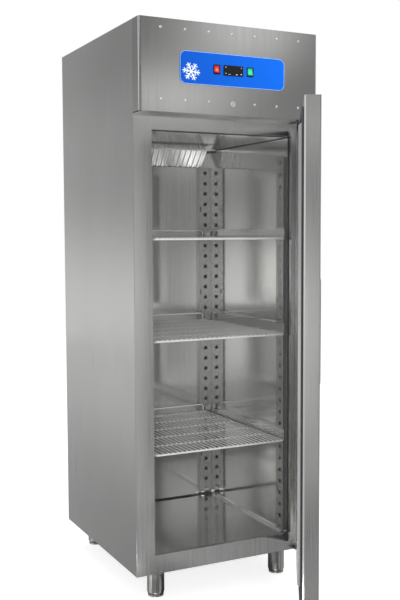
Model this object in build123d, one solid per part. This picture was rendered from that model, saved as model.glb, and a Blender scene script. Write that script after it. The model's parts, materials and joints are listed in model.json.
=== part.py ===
from build123d import *

import os
from math import asin, cos, pi, sin, sqrt

# Commercial upright freezer, single door, in millimetres.
# X runs to the right, Y from the front to the back, Z up. The origin lies on the floor, at the centre
# of the four feet. The door is modelled at the angle at which it stands open.

# Cabinet
WIDTH = 700.0
DEPTH = 743.0
BASE_Z = 99.0
TOP_Z = 2010.0
DECK_Z = 1720.0
SHEET = 1.0
HALF = WIDTH / 2
FRONT = -DEPTH / 2
BACK = DEPTH / 2

# Door opening and the inner liner
OPENING_HALF = 280.0
SILL_Z = 166.0
HEAD_Z = 1648.0
LIP_DEPTH = 14.5
LINER_HALF = 290.0
LINER_FLOOR = 144.0
LINER_CEILING = 1649.0
LINER_BACK = 315.0
LINER_COVE = 14.0

# Air ways through the ceiling, each half width, front and back
SUPPLY_HALF, SUPPLY_FRONT, SUPPLY_BACK = 205.0, 262.0, 308.0
RETURN_HALF, RETURN_FRONT, RETURN_BACK = 170.0, 0.0, 90.0

# Cable gland in the rear grille
CABLE_X, CABLE_Z = 300.0, 1748.0
GLAND_THREAD_R, GLAND_DOME_R, GLAND_BORE_R, GLAND_HEX_R = 8.0, 9.5, 4.5, 12.0

# Hood
HOOD_Z = 1702.0
HOOD_FRONT = FRONT - 57.0
HOOD_SHEET = 1.2
HOOD_BEND = 9.0
SCREW_PITCH = 90.0
SCREWS_PER_ROW = 7
SCREW_TOP_Z = 1979.0
SCREW_BOTTOM_Z = 1743.5
SCREW_HOLE_R = 2.2
SCREW_SHANK_R = 2.0
SCREW_HEAD_R = 4.8
SCREW_HEAD_H = 2.6

# Controls on the hood
OVERLAY_X, OVERLAY_Z = 5.0, 1855.0
OVERLAY_W, OVERLAY_H, OVERLAY_T, OVERLAY_R = 412.0, 111.0, 1.5, 23.0
OVERLAY_FRONT = HOOD_FRONT - OVERLAY_T
CONTROLLER_X, CONTROLLER_Z = 3.5, 1854.8
CONTROLLER_W, CONTROLLER_H, CONTROLLER_T = 77.0, 35.0, 2.5
CONTROLLER_HOUSING_W, CONTROLLER_HOUSING_H, CONTROLLER_HOUSING_DEPTH = 71.0, 29.0, 58.0
DISPLAY_W, DISPLAY_H, DISPLAY_DEPTH = 42.0, 17.0, 0.8
KEY_W, KEY_H, KEY_PROUD, KEY_DEPTH, KEY_GAP = 10.0, 6.5, 0.6, 1.2, 0.3
KEY_X, KEY_Z = 30.0, 10.5
SWITCH_W, SWITCH_H, SWITCH_T = 26.0, 32.0, 2.0
SWITCH_HOUSING_W, SWITCH_HOUSING_H, SWITCH_HOUSING_DEPTH = 23.0, 29.0, 26.0
SWITCH_POCKET_W, SWITCH_POCKET_H, SWITCH_POCKET_DEPTH = 20.0, 26.0, 19.0
ROCKER_PIVOT_Y = OVERLAY_FRONT + 6.0
ROCKER_W, ROCKER_TILT = 19.4, 8.0
RED_X, GREEN_X, SWITCH_Z = -61.0, 70.3, 1855.4

# Key lock in the middle of the hood's lower row
LOCK_X, LOCK_Z = 2.5, 1741.0
LOCK_FLANGE_R, LOCK_BARREL_R, LOCK_BORE_R, LOCK_PLUG_R = 10.0, 8.0, 6.05, 6.0
LOCK_FLANGE_T, LOCK_BARREL_LENGTH = 2.5, 20.0
TONGUE_LENGTH, TONGUE_W, TONGUE_T = 52.0, 12.0, 2.0
TONGUE_Y = HOOD_FRONT + 22.0
TONGUE_SLOT_X0, TONGUE_SLOT_X1 = -12.0, 42.0

# Door, given shut; the hinge axis and the angle at which it stands open
HINGE_X, HINGE_Y = 328.0, -412.0
DOOR_OPEN_ANGLE = 58.3
DOOR_X0, DOOR_X1 = -349.0, 348.0
DOOR_Y0, DOOR_Y1 = HOOD_FRONT, HOOD_FRONT + 50.0
DOOR_Z0, DOOR_Z1 = 110.0, 1697.0
DOOR_LIP = 15.0
DOOR_OUTER_ROUND = 4.0
DOOR_INNER_BEVEL = 5.0
PLUG_HALF, PLUG_Z0, PLUG_Z1, PLUG_RISE, PLUG_DRAFT = 262.0, 185.0, 1630.0, 14.5, 8.0
GASKET_INNER, GASKET_OUTER, GASKET_T = 286.0, 310.0, 6.7
GASKET_Z0, GASKET_Z1 = 118.0, 1672.0
GASKET_W = GASKET_OUTER - GASKET_INNER
GRIP_X, GRIP_Z, GRIP_W, GRIP_H, GRIP_DEPTH = -316.0, 1000.0, 34.0, 300.0, 24.0

# Hinge hardware
PIN_R, BUSH_BORE_R, BUSH_R = 4.0, 4.05, 7.0
PIN_REACH = 25.0
HINGE_PLATE_T = 3.2
HINGE_PLATE_X0, HINGE_PLATE_X1 = 298.0, 347.0

# Legs and feet
FOOT_X, FOOT_Y = 252.0, 311.5
LEG_R, LEG_WALL, LEG_BOTTOM = 31.0, 1.5, 7.0
LEG_TIP_R, LEG_TAPER_H = 27.0, 8.5
LEG_PLATE_R, LEG_PLATE_T = 45.0, 3.0
FOOT_R, FOOT_H, FOOT_ROUND = 28.5, 6.5, 2.0
STEM_R, STEM_TOP, STEM_POINT, NUT_BORE_R, NUT_H = 8.95, 64.0, 2.0, 9.0, 14.0

# Punched uprights
UPRIGHT_W, UPRIGHT_T = 51.0, 1.5
UPRIGHT_Z0, UPRIGHT_Z1 = 160.0, 1578.0
REAR_UPRIGHT_X0, REAR_UPRIGHT_W = 235.0, 54.7
REAR_UPRIGHT_WEB = 299.0
FRONT_UPRIGHT_WEB = 273.0
FRONT_UPRIGHT_Y0 = -326.0
HOLE_W, HOLE_H, HOLE_PITCH, HOLE_OFFSET = 15.0, 14.0, 44.7, 23.0
FIRST_HOLE_Z = 1555.0
HOLE_COUNT = 32
KEYHOLE_W, KEYHOLE_H, KEYHOLE_OFFSET = 4.0, 20.0, 5.5
KEYHOLE_ROWS = (3, 11, 13, 27)

# Shelves, one for each hole that carries its runners
SHELF_ROWS = {"upper": 6, "middle": 14, "lower": 23}
SHELF_DROP = 5.0
SHELF_HALF, SHELF_FRONT, SHELF_BACK = 265.0, -352.0, 298.0
WIRE_D, WIRE_COUNT, WIRE_SPAN = 3.8, 28, 506.0
CROSS_D, CROSS_COUNT = 5.0, 4
ROD_D = 7.0
WELD = 0.4
UPSTAND_H, UPSTAND_HALF, UPSTAND_D, UPSTAND_CORNER = 28.0, 247.0, 5.0, 12.0

# Runners
RUNNER_X, RUNNER_T = 271.5, 1.5
RUNNER_FRONT, RUNNER_BACK = -335.0, 297.5
RUNNER_RISE, RUNNER_SHELF_W = 32.0, 34.0
RUNNER_DROP, RUNNER_LIP_GAP = 10.7, 0.5
HOOK_W, HOOK_H, HOOK_REACH = 10.0, 8.0, 4.0

# Rear duct and the deflector under the ceiling
DUCT_HALF, DUCT_FRONT, DUCT_Z0, DUCT_Z1 = 218.0, 303.0, 150.0, 1578.0
DUCT_FOOT_R = 7.0
DEFLECTOR_HALF = 240.0
DEFLECTOR_TOP_Y, DEFLECTOR_BOTTOM_Y, DEFLECTOR_BOTTOM_Z = 258.0, 300.0, 1580.0
RIB_PITCH, RIB_H, DEFLECTOR_T = 24.0, 4.0, 1.0

# Refrigeration unit
UNIT_Z = DECK_Z + SHEET
HOUSING_HALF, HOUSING_FRONT, HOUSING_BACK, HOUSING_TOP = 235.0, -50.0, 345.0, 1985.0
HOUSING_WALL = 25.0
EVAP_FAN_Y, EVAP_FAN_Z, EVAP_FAN_R, EVAP_FAN_HOLE_R = 205.0, 1853.0, 88.0, 91.0
COND_FAN_X, COND_FAN_Y, COND_FAN_Z, COND_FAN_R, COND_FAN_HOLE_R = 130.0, -215.0, 1858.0, 112.0, 115.0
COND_FAN_HUB, COND_FAN_CHORD = 26.0, 78.0
EVAP_FAN_HUB, EVAP_FAN_CHORD = 22.0, 62.0
MOTOR_SHAFT_R, FAN_BORE_R = 3.0, 3.05
COND_COIL_HALF, COND_COIL_FRONT, COND_COIL_BACK, COND_COIL_TOP = 135.0, -320.0, -265.0, 1984.0
EVAP_COIL_HALF, EVAP_COIL_FRONT, EVAP_COIL_BACK = 185.0, 95.0, 165.0
COIL_PLATE_T, COIL_TUBE_R = 1.5, 4.8
TRAY_X0, TRAY_X1, TRAY_Y0, TRAY_Y1, TRAY_T, TRAY_H = -320.0, 330.0, -340.0, -70.0, 1.5, 12.0
COMPRESSOR_X, COMPRESSOR_Y, COMPRESSOR_R, COMPRESSOR_H = -200.0, -190.0, 84.0, 190.0
DOME_RISE, POT_FLOOR, POT_ROUND = 50.0, 14.0, 16.0
PIPE_R, LINE_Y, LIQUID_Z, DRIER_R, DRIER_HALF = 4.0, -292.0, 1760.0, 11.0, 35.0


def block(x0, x1, y0, y1, z0, z1):
    """A box between two values on each axis."""
    middle = Pos((x0 + x1) / 2, (y0 + y1) / 2, (z0 + z1) / 2)
    return middle * Box(x1 - x0, y1 - y0, z1 - z0)


def post(x, y, z0, z1, radius):
    """An upright cylinder."""
    return Pos(x, y, (z0 + z1) / 2) * Cylinder(radius, z1 - z0)


def barrel(x, z, y0, y1, radius):
    """A cylinder that lies along Y."""
    return Pos(x, (y0 + y1) / 2, z) * Rot(90, 0, 0) * Cylinder(radius, y1 - y0)


def front_plate(x, z, width, height, y0, y1, corner):
    """A plate that faces the front, with rounded corners."""
    face = Plane(origin=(x, y1, z), x_dir=(1, 0, 0), z_dir=(0, -1, 0))
    return extrude(face * RectangleRounded(width, height, corner), y1 - y0)


def ring(outer, inner, y0, y1):
    """A rectangular ring that faces the front; outer and inner are half width, bottom and top."""
    whole = block(-outer[0], outer[0], y0, y1, outer[1], outer[2])
    return whole - block(-inner[0], inner[0], y0, y1, inner[1], inner[2])


def both_sides(part):
    """The part and its mirror image on the other side of the cabinet."""
    return [part, mirror(part, Plane.YZ)]


def separate(parts):
    """Keeps several solids apart in one node."""
    return Compound(children=[Compound(part.wrapped) for part in parts])


def octagon_rod(start, end, flats):
    """A straight rod from one point to another, eight-sided, with two faces level."""
    path = Line(start, end)
    section = Plane(origin=start, x_dir=(0, 0, 1), z_dir=path % 0)
    return extrude(section * RegularPolygon(flats / 2, 8, major_radius=False, rotation=22.5), path.length)


def hinge_swing(part):
    """Carries a piece of the shut door to the angle at which the door stands open."""
    axis = Pos(HINGE_X, HINGE_Y, 0)
    return axis * Rot(0, 0, DOOR_OPEN_ANGLE) * axis.inverse() * part


def hole_heights():
    """The heights of the holes in an upright, from the top down."""
    return [FIRST_HOLE_Z - row * HOLE_PITCH for row in range(HOLE_COUNT)]


def shelf_height(level):
    """The height of a shelf's wires, just under the hole that carries its runners."""
    return hole_heights()[SHELF_ROWS[level]] - SHELF_DROP


# Cabinet


def side_panel():
    """The right side: one sheet with a flange turned in along its top."""
    profile = Polyline(
        (HALF, BASE_Z),
        (HALF, TOP_Z),
        (HALF - 20, TOP_Z),
        (HALF - 20, TOP_Z - SHEET),
        (HALF - SHEET, TOP_Z - SHEET),
        (HALF - SHEET, BASE_Z),
        close=True,
    )
    return extrude(Plane.XZ.offset(-BACK) * make_face(profile), DEPTH)


def rear_panel():
    """The back of the insulated cabinet."""
    return block(-HALF + SHEET, HALF - SHEET, BACK - SHEET, BACK, BASE_Z + SHEET, DECK_Z)


def rear_grille():
    """The back of the machine compartment: a sheet with pressed air slots and a hole for the cord's gland."""
    sheet = block(-HALF + SHEET, HALF - SHEET, BACK - SHEET, BACK, UNIT_Z, TOP_Z - SHEET)
    slots = [
        block(x - 45, x + 45, BACK - 2, BACK + 1, z - 4, z + 4)
        for x in (-270, -90, 90, 270)
        for z in range(1780, 1961, 20)
    ]
    gland_hole = barrel(CABLE_X, CABLE_Z, BACK - 2, BACK + 1, GLAND_THREAD_R)
    return sheet - slots - gland_hole


def cable_gland():
    """The gland that holds the supply cord, with its nut inside the grille."""
    face = Plane(origin=(CABLE_X, BACK, CABLE_Z), x_dir=(1, 0, 0), z_dir=(0, 1, 0))
    nut = extrude(face.offset(-SHEET - 5) * RegularPolygon(GLAND_HEX_R, 6), 5)
    body = extrude(face * RegularPolygon(GLAND_HEX_R, 6), 6)
    dome = barrel(CABLE_X, CABLE_Z, BACK + 6, BACK + 16, GLAND_DOME_R)
    thread = barrel(CABLE_X, CABLE_Z, BACK - 10, BACK + 6, GLAND_THREAD_R)
    return nut + body + dome + thread - barrel(CABLE_X, CABLE_Z, BACK - 11, BACK + 17, GLAND_BORE_R)


def base_pan():
    """The floor sheet of the cabinet."""
    return block(-HALF + SHEET, HALF - SHEET, FRONT, BACK, BASE_Z, BASE_Z + SHEET)


def compartment_deck():
    """The sheet on top of the insulation, open over the two air ways, with a stiffening edge at the front."""
    sheet = block(-HALF + SHEET, HALF - SHEET, FRONT, BACK, DECK_Z, UNIT_Z)
    edge = block(-HALF + SHEET, HALF - SHEET, FRONT, FRONT + SHEET, UNIT_Z, UNIT_Z + 20)
    return sheet + edge - air_ways(DECK_Z - 1, UNIT_Z + 1)


def air_ways(z0, z1):
    """The supply and return air ways, as solids to cut away between two heights."""
    return [
        block(-SUPPLY_HALF, SUPPLY_HALF, SUPPLY_FRONT, SUPPLY_BACK, z0, z1),
        block(-RETURN_HALF, RETURN_HALF, RETURN_FRONT, RETURN_BACK, z0, z1),
    ]


def front_frame():
    """The face around the door opening, its lip turned in, and the step from the lip out to the liner."""
    opening = (OPENING_HALF, SILL_Z, HEAD_Z)
    lip = (OPENING_HALF + SHEET, SILL_Z - SHEET, HEAD_Z + SHEET)
    liner = (LINER_HALF, LINER_FLOOR, LINER_CEILING)
    face = ring((HALF - SHEET, BASE_Z + SHEET, DECK_Z), opening, FRONT, FRONT + SHEET)
    inward = ring(lip, opening, FRONT, FRONT + LIP_DEPTH)
    step = ring(liner, opening, FRONT + LIP_DEPTH, FRONT + LIP_DEPTH + SHEET)
    return face + inward + step


def liner_space(grow):
    """The room inside the liner with its coved edges, grown on every side but the front."""
    y0 = FRONT + LIP_DEPTH + SHEET
    room = block(
        -LINER_HALF - grow,
        LINER_HALF + grow,
        y0,
        LINER_BACK + grow,
        LINER_FLOOR - grow,
        LINER_CEILING + grow,
    )
    floor_edges = room.edges().group_by(Axis.Z)[0].filter_by(lambda edge: edge.center().Y > y0 + 1)
    return fillet(floor_edges, LINER_COVE + grow)


def inner_liner():
    """The polished tub behind the door opening, pierced for air in its ceiling."""
    cuts = air_ways(LINER_CEILING - 1, LINER_CEILING + SHEET + 1)
    return liner_space(SHEET) - liner_space(0) - cuts


def cabinet_insulation():
    """The foam between the outer sheets and the liner."""
    foam = block(-HALF + SHEET, HALF - SHEET, FRONT + SHEET, BACK - SHEET, BASE_Z + SHEET, DECK_Z)
    mouth = block(
        -OPENING_HALF - SHEET,
        OPENING_HALF + SHEET,
        FRONT,
        FRONT + LIP_DEPTH,
        SILL_Z - SHEET,
        HEAD_Z + SHEET,
    )
    step = block(
        -LINER_HALF, LINER_HALF, FRONT + LIP_DEPTH, FRONT + LIP_DEPTH + SHEET, LINER_FLOOR, LINER_CEILING
    )
    return foam - mouth - step - liner_space(SHEET) - air_ways(LINER_CEILING - 1, DECK_Z + 1)


def leg():
    """A tube leg on the Z axis, drawn in at its bottom round a threaded plug, with a round plate above."""
    top = BASE_Z - LEG_PLATE_T
    inner_r = LEG_R - LEG_WALL
    nut_top = LEG_BOTTOM + NUT_H
    profile = Polyline(
        (NUT_BORE_R, LEG_BOTTOM), (LEG_TIP_R, LEG_BOTTOM), (LEG_R, LEG_BOTTOM + LEG_TAPER_H), (LEG_R, top),
        (LEG_PLATE_R, top), (LEG_PLATE_R, BASE_Z), (0, BASE_Z), (0, top), (inner_r, top),
        (inner_r, nut_top), (NUT_BORE_R, nut_top), close=True,
    )
    return revolve(Plane.XZ * make_face(profile), Axis.Z)


def leg_tubes():
    """The four legs."""
    one = leg()
    return separate([Pos(x, y, 0) * one for x in (-FOOT_X, FOOT_X) for y in (-FOOT_Y, FOOT_Y)])


def foot(x, y):
    """A levelling foot: a pad that rests on the floor and a threaded stem up into the leg."""
    profile = Polyline(
        (0, 0), (FOOT_R, 0), (FOOT_R, FOOT_H - FOOT_ROUND), (FOOT_R - FOOT_ROUND, FOOT_H), (STEM_R, FOOT_H),
        (STEM_R, STEM_TOP - STEM_POINT), (STEM_R - STEM_POINT, STEM_TOP), (0, STEM_TOP), close=True,
    )
    return Pos(x, y, 0) * revolve(Plane.XZ * make_face(profile), Axis.Z)


# Hood and controls


def screw_places():
    """X and Z of each screw on the hood; the lock takes the middle place of the lower row."""
    half_row = SCREWS_PER_ROW // 2
    row = [SCREW_PITCH * i for i in range(-half_row, half_row + 1)]
    return [(x, SCREW_TOP_Z) for x in row] + [(x, SCREW_BOTTOM_Z) for x in row if x != 0]


def hood_panel():
    """The hood: one sheet folded round both front corners, with a floor and a flange along its top."""
    outer = block(-HALF, HALF, HOOD_FRONT, FRONT, HOOD_Z, TOP_Z)
    outer = fillet(outer.edges().filter_by(Axis.Z).group_by(Axis.Y)[0], HOOD_BEND)
    inner = block(-HALF + HOOD_SHEET, HALF - HOOD_SHEET, HOOD_FRONT + HOOD_SHEET, FRONT, HOOD_Z, TOP_Z)
    inner = fillet(inner.edges().filter_by(Axis.Z).group_by(Axis.Y)[0], HOOD_BEND - HOOD_SHEET)
    folded = outer - inner
    x = HALF - HOOD_BEND - 2
    y = HOOD_FRONT + HOOD_SHEET / 2
    folded += block(-x, x, y, FRONT, HOOD_Z, HOOD_Z + HOOD_SHEET)
    folded += block(-x, x, y, HOOD_FRONT + 18, TOP_Z - HOOD_SHEET, TOP_Z)
    cuts = [barrel(x, z, HOOD_FRONT - 1, HOOD_FRONT + 3, SCREW_HOLE_R) for x, z in screw_places()]
    cuts.append(barrel(LOCK_X, LOCK_Z, HOOD_FRONT - 1, HOOD_FRONT + 3, LOCK_BARREL_R))
    cuts.append(tongue_slot(HOOD_Z - 1, HOOD_Z + 3))
    return folded - cuts - control_cutouts()


def tongue_slot(z0, z1):
    """The slot that the lock's tongue swings down through."""
    y0, y1 = TONGUE_Y - 3, TONGUE_Y + TONGUE_T + 3
    return block(TONGUE_SLOT_X0, TONGUE_SLOT_X1, y0, y1, z0, z1)


def control_cutouts():
    """What the hood and the overlay leave open for the controller and the two switches."""
    y0, y1 = OVERLAY_FRONT - 1, HOOD_FRONT + 3
    controller = front_cut(
        CONTROLLER_X, CONTROLLER_Z, CONTROLLER_HOUSING_W, CONTROLLER_HOUSING_H, y0, y1
    )
    switches = [
        front_cut(x, SWITCH_Z, SWITCH_HOUSING_W, SWITCH_HOUSING_H, y0, y1) for x in (RED_X, GREEN_X)
    ]
    return [controller] + switches


def front_cut(x, z, width, height, y0, y1):
    """A box centred in X and Z."""
    return block(x - width / 2, x + width / 2, y0, y1, z - height / 2, z + height / 2)


def hood_screws():
    """The pan-head screws of the hood."""
    profile = Polyline(
        (0, 0), (SCREW_HEAD_R, 0), (SCREW_HEAD_R, 1.1), (SCREW_HEAD_R - 1.4, SCREW_HEAD_H), (0, SCREW_HEAD_H),
        close=True,
    )
    head = Rot(90, 0, 0) * revolve(Plane.XZ * make_face(profile), Axis.Z)
    screws = []
    for x, z in screw_places():
        shank = barrel(x, z, HOOD_FRONT, HOOD_FRONT + 12, SCREW_SHANK_R)
        screws.append(Pos(x, HOOD_FRONT, z) * head + shank)
    return separate(screws)


def control_overlay():
    """The coloured plate around the controls."""
    plate = front_plate(
        OVERLAY_X, OVERLAY_Z, OVERLAY_W, OVERLAY_H, OVERLAY_FRONT, HOOD_FRONT, OVERLAY_R
    )
    return plate - control_cutouts()


def key_centres():
    """Names and centres of the controller's four keys."""
    return {
        f"key_{level}_{side}": (CONTROLLER_X + sx * KEY_X, CONTROLLER_Z + sz * KEY_Z)
        for level, sz in (("upper", 1), ("lower", -1))
        for side, sx in (("left", -1), ("right", 1))
    }


def controller_body():
    """The electronic controller: a face with a sunk display and four key pockets, and its housing behind."""
    front = OVERLAY_FRONT - CONTROLLER_T
    face = front_plate(CONTROLLER_X, CONTROLLER_Z, CONTROLLER_W, CONTROLLER_H, front, OVERLAY_FRONT, 3)
    housing = front_cut(
        CONTROLLER_X,
        CONTROLLER_Z,
        CONTROLLER_HOUSING_W,
        CONTROLLER_HOUSING_H,
        OVERLAY_FRONT,
        OVERLAY_FRONT + CONTROLLER_HOUSING_DEPTH,
    )
    display = front_cut(CONTROLLER_X, CONTROLLER_Z + 2, DISPLAY_W, DISPLAY_H, front - 1, front + DISPLAY_DEPTH)
    pockets = [
        front_cut(x, z, KEY_W + 2 * KEY_GAP, KEY_H + 2 * KEY_GAP, front - 1, front + KEY_DEPTH + 0.8)
        for x, z in key_centres().values()
    ]
    return face + housing - display - pockets


def controller_key(x, z):
    """One key of the controller, standing a little proud of its face."""
    front = OVERLAY_FRONT - CONTROLLER_T
    key = front_cut(x, z, KEY_W, KEY_H, front - KEY_PROUD, front + KEY_DEPTH)
    return fillet(key.edges().filter_by(Axis.Y), 1.2)


def switch_body(x):
    """A rocker switch's bezel and its housing, open to the front."""
    front = OVERLAY_FRONT - SWITCH_T
    bezel = front_plate(x, SWITCH_Z, SWITCH_W, SWITCH_H, front, OVERLAY_FRONT, 2)
    housing = front_cut(
        x, SWITCH_Z, SWITCH_HOUSING_W, SWITCH_HOUSING_H, OVERLAY_FRONT, OVERLAY_FRONT + SWITCH_HOUSING_DEPTH
    )
    pocket = front_cut(
        x, SWITCH_Z, SWITCH_POCKET_W, SWITCH_POCKET_H, front - 1, front + SWITCH_POCKET_DEPTH
    )
    return bezel + housing - pocket


def rocker(x):
    """A rocker: hollowed across its front, round behind, and tilted with its top pressed in."""
    half_height, front_depth, middle_depth = 11.4, -9.5, -7.2
    back = Plane(origin=(x - ROCKER_W / 2, ROCKER_PIVOT_Y, SWITCH_Z), x_dir=(0, 1, 0), z_dir=(1, 0, 0))
    outline = Line((front_depth, half_height), (-5, half_height + 0.6))
    outline += Line((-5, half_height + 0.6), (2, 7))
    outline += ThreePointArc((2, 7), (7.28, 0), (2, -7))
    outline += Line((2, -7), (-5, -half_height - 0.6))
    outline += Line((-5, -half_height - 0.6), (front_depth, -half_height))
    outline += ThreePointArc((front_depth, -half_height), (middle_depth, 0), (front_depth, half_height))
    body = extrude(back * make_face(outline), ROCKER_W)
    pivot = Pos(x, ROCKER_PIVOT_Y, SWITCH_Z)
    return pivot * Rot(-ROCKER_TILT, 0, 0) * pivot.inverse() * body


def lock_housing():
    """The fixed barrel of the key lock, with its flange outside and its nut inside the hood."""
    flange = barrel(LOCK_X, LOCK_Z, HOOD_FRONT - LOCK_FLANGE_T, HOOD_FRONT, LOCK_FLANGE_R)
    tube = barrel(LOCK_X, LOCK_Z, HOOD_FRONT, HOOD_FRONT + LOCK_BARREL_LENGTH, LOCK_BARREL_R)
    inside = Plane(origin=(LOCK_X, HOOD_FRONT + HOOD_SHEET, LOCK_Z), x_dir=(1, 0, 0), z_dir=(0, 1, 0))
    nut = extrude(inside * RegularPolygon(12.5, 6), 4)
    bore = barrel(LOCK_X, LOCK_Z, HOOD_FRONT - 4, HOOD_FRONT + 23, LOCK_BORE_R)
    return flange + tube + nut - bore


def lock_cylinder():
    """The turning plug with its key slot, and the tongue fixed to its inner end."""
    front = HOOD_FRONT - LOCK_FLANGE_T + 0.4
    plug = barrel(LOCK_X, LOCK_Z, front, TONGUE_Y + TONGUE_T, LOCK_PLUG_R)
    slot = block(LOCK_X - 0.9, LOCK_X + 0.9, front - 1, front + 4, LOCK_Z - 3.8, LOCK_Z + 3.8)
    tongue = block(
        LOCK_X, LOCK_X + TONGUE_LENGTH, TONGUE_Y, TONGUE_Y + TONGUE_T,
        LOCK_Z - TONGUE_W / 2, LOCK_Z + TONGUE_W / 2,
    )
    return plug + tongue - slot


# Hinges


def hinge_plate(z0, back_y):
    """A flat hinge plate with its front corners rounded and a hole for the pin."""
    y0 = HINGE_Y - 13
    plate = block(HINGE_PLATE_X0, HINGE_PLATE_X1, y0, back_y, z0, z0 + HINGE_PLATE_T)
    plate = fillet(plate.edges().filter_by(Axis.Z).group_by(Axis.Y)[0], 10)
    return plate - post(HINGE_X, HINGE_Y, z0 - 1, z0 + HINGE_PLATE_T + 1, PIN_R)


def top_hinge_plate():
    """Lies under the hood's floor, above the door."""
    return hinge_plate(HOOD_Z - HINGE_PLATE_T, FRONT)


def bottom_hinge_plate():
    """Lies under the base pan and reaches forward under the door."""
    return hinge_plate(BASE_Z - HINGE_PLATE_T, FRONT + 50)


def hinge_pins():
    """The pins on which the door turns."""
    top = post(HINGE_X, HINGE_Y, DOOR_Z1 - PIN_REACH + 3, HOOD_Z, PIN_R)
    bottom = post(HINGE_X, HINGE_Y, BASE_Z - HINGE_PLATE_T, DOOR_Z0 + PIN_REACH - 3, PIN_R)
    return separate([top, bottom])


def bush_space():
    """The room that the two bushes take inside the door."""
    return [
        post(HINGE_X, HINGE_Y, DOOR_Z1 - PIN_REACH, DOOR_Z1, BUSH_R),
        post(HINGE_X, HINGE_Y, DOOR_Z0, DOOR_Z0 + PIN_REACH, BUSH_R),
    ]


def hinge_bushes():
    """The bushes pressed into the door; the lower one's thick flange carries the door's weight."""
    top, bottom = bush_space()
    top += post(HINGE_X, HINGE_Y, DOOR_Z1, DOOR_Z1 + 1, 9)
    bottom += post(HINGE_X, HINGE_Y, BASE_Z + 0.3, DOOR_Z0, 11)
    top -= post(HINGE_X, HINGE_Y, DOOR_Z1 - PIN_REACH, DOOR_Z1 + 1, BUSH_BORE_R)
    bottom -= post(HINGE_X, HINGE_Y, BASE_Z, DOOR_Z0 + PIN_REACH, BUSH_BORE_R)
    return separate([top, bottom])


# Door


def door_block(inset):
    """The door's outer form, with rounded outer edges and bevelled inner ones, shrunk by the inset."""
    slab = block(
        DOOR_X0 + inset, DOOR_X1 - inset, DOOR_Y0 + inset, DOOR_Y1 - inset, DOOR_Z0 + inset, DOOR_Z1 - inset
    )
    uprights = slab.edges().filter_by(Axis.Z).group_by(Axis.Y)
    slab = fillet(uprights[0], DOOR_OUTER_ROUND - inset / 2)
    return chamfer(slab.edges().filter_by(Axis.Z).group_by(Axis.Y)[-1], DOOR_INNER_BEVEL - inset / 2)


def door_window():
    """The opening in the inner side of the door skin, which the inner panel fills."""
    return block(
        DOOR_X0 + DOOR_LIP,
        DOOR_X1 - DOOR_LIP,
        DOOR_Y1 - SHEET,
        DOOR_Y1,
        DOOR_Z0 + DOOR_LIP,
        DOOR_Z1 - DOOR_LIP,
    )


def grip_recess(grow):
    """The room of the grip in the door's outer face."""
    return front_plate(
        GRIP_X, GRIP_Z, GRIP_W + 2 * grow, GRIP_H + 2 * grow, DOOR_Y0, DOOR_Y0 + GRIP_DEPTH + grow, 8 + grow
    )


def door_skin():
    """The folded outer pan of the door."""
    skin = door_block(0) - door_block(SHEET) - door_window()
    tongue = tongue_slot(DOOR_Z1 - 2, DOOR_Z1 + 1)
    return skin - grip_recess(2) - bush_space() - tongue


def plug_form(inset, y0):
    """The raised middle of the inner panel, with drafted sides."""
    middle_z = (PLUG_Z0 + PLUG_Z1) / 2
    width = 2 * (PLUG_HALF - inset)
    height = PLUG_Z1 - PLUG_Z0 - 2 * inset
    base = Plane(origin=(0, y0, middle_z), x_dir=(-1, 0, 0), z_dir=(0, 1, 0))
    rise = PLUG_RISE - inset + (DOOR_Y1 - y0)
    outline = base * Rectangle(width, height)
    top = base.offset(rise) * Rectangle(width - 2 * PLUG_DRAFT, height - 2 * PLUG_DRAFT)
    return loft([outline, top], ruled=True)


def door_inner_panel():
    """The inner sheet of the door, pressed out in its middle."""
    return door_window() + plug_form(0, DOOR_Y1) - plug_form(SHEET, DOOR_Y1 - SHEET)


def door_insulation():
    """The foam that fills the door."""
    foam = door_block(SHEET) + plug_form(SHEET, DOOR_Y1 - SHEET)
    tongue = tongue_slot(DOOR_Z1 - 12, DOOR_Z1)
    return foam - grip_recess(2) - bush_space() - tongue


def door_gasket():
    """The magnetic gasket: a base in the panel, a thin fold, and the wider magnet strip in front."""
    base_y, fold_y, seal_y = DOOR_Y1, DOOR_Y1 + 2.2, DOOR_Y1 + 3.8

    def gasket_ring(outer_inset, inner_inset, y0, y1):
        outer = (GASKET_OUTER - outer_inset, GASKET_Z0 + outer_inset, GASKET_Z1 - outer_inset)
        inner_half = GASKET_INNER + inner_inset
        inner_z = GASKET_W - inner_inset
        inner = (inner_half, GASKET_Z0 + inner_z, GASKET_Z1 - inner_z)
        return ring(outer, inner, y0, y1)

    base = gasket_ring(3, 1, base_y, fold_y)
    fold = gasket_ring(7, 6, fold_y, seal_y)
    seal = gasket_ring(0, 3, seal_y, base_y + GASKET_T)
    return base + fold + seal


def door_grip():
    """The recessed grip: a cup with a thin flange round it."""
    flange = front_plate(GRIP_X, GRIP_Z, GRIP_W + 16, GRIP_H + 16, DOOR_Y0 - 1.5, DOOR_Y0, 12)
    mouth = front_plate(GRIP_X, GRIP_Z, GRIP_W, GRIP_H, DOOR_Y0 - 2, DOOR_Y0 + GRIP_DEPTH, 8)
    return flange + grip_recess(2) - mouth


# Inside of the cabinet


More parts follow.
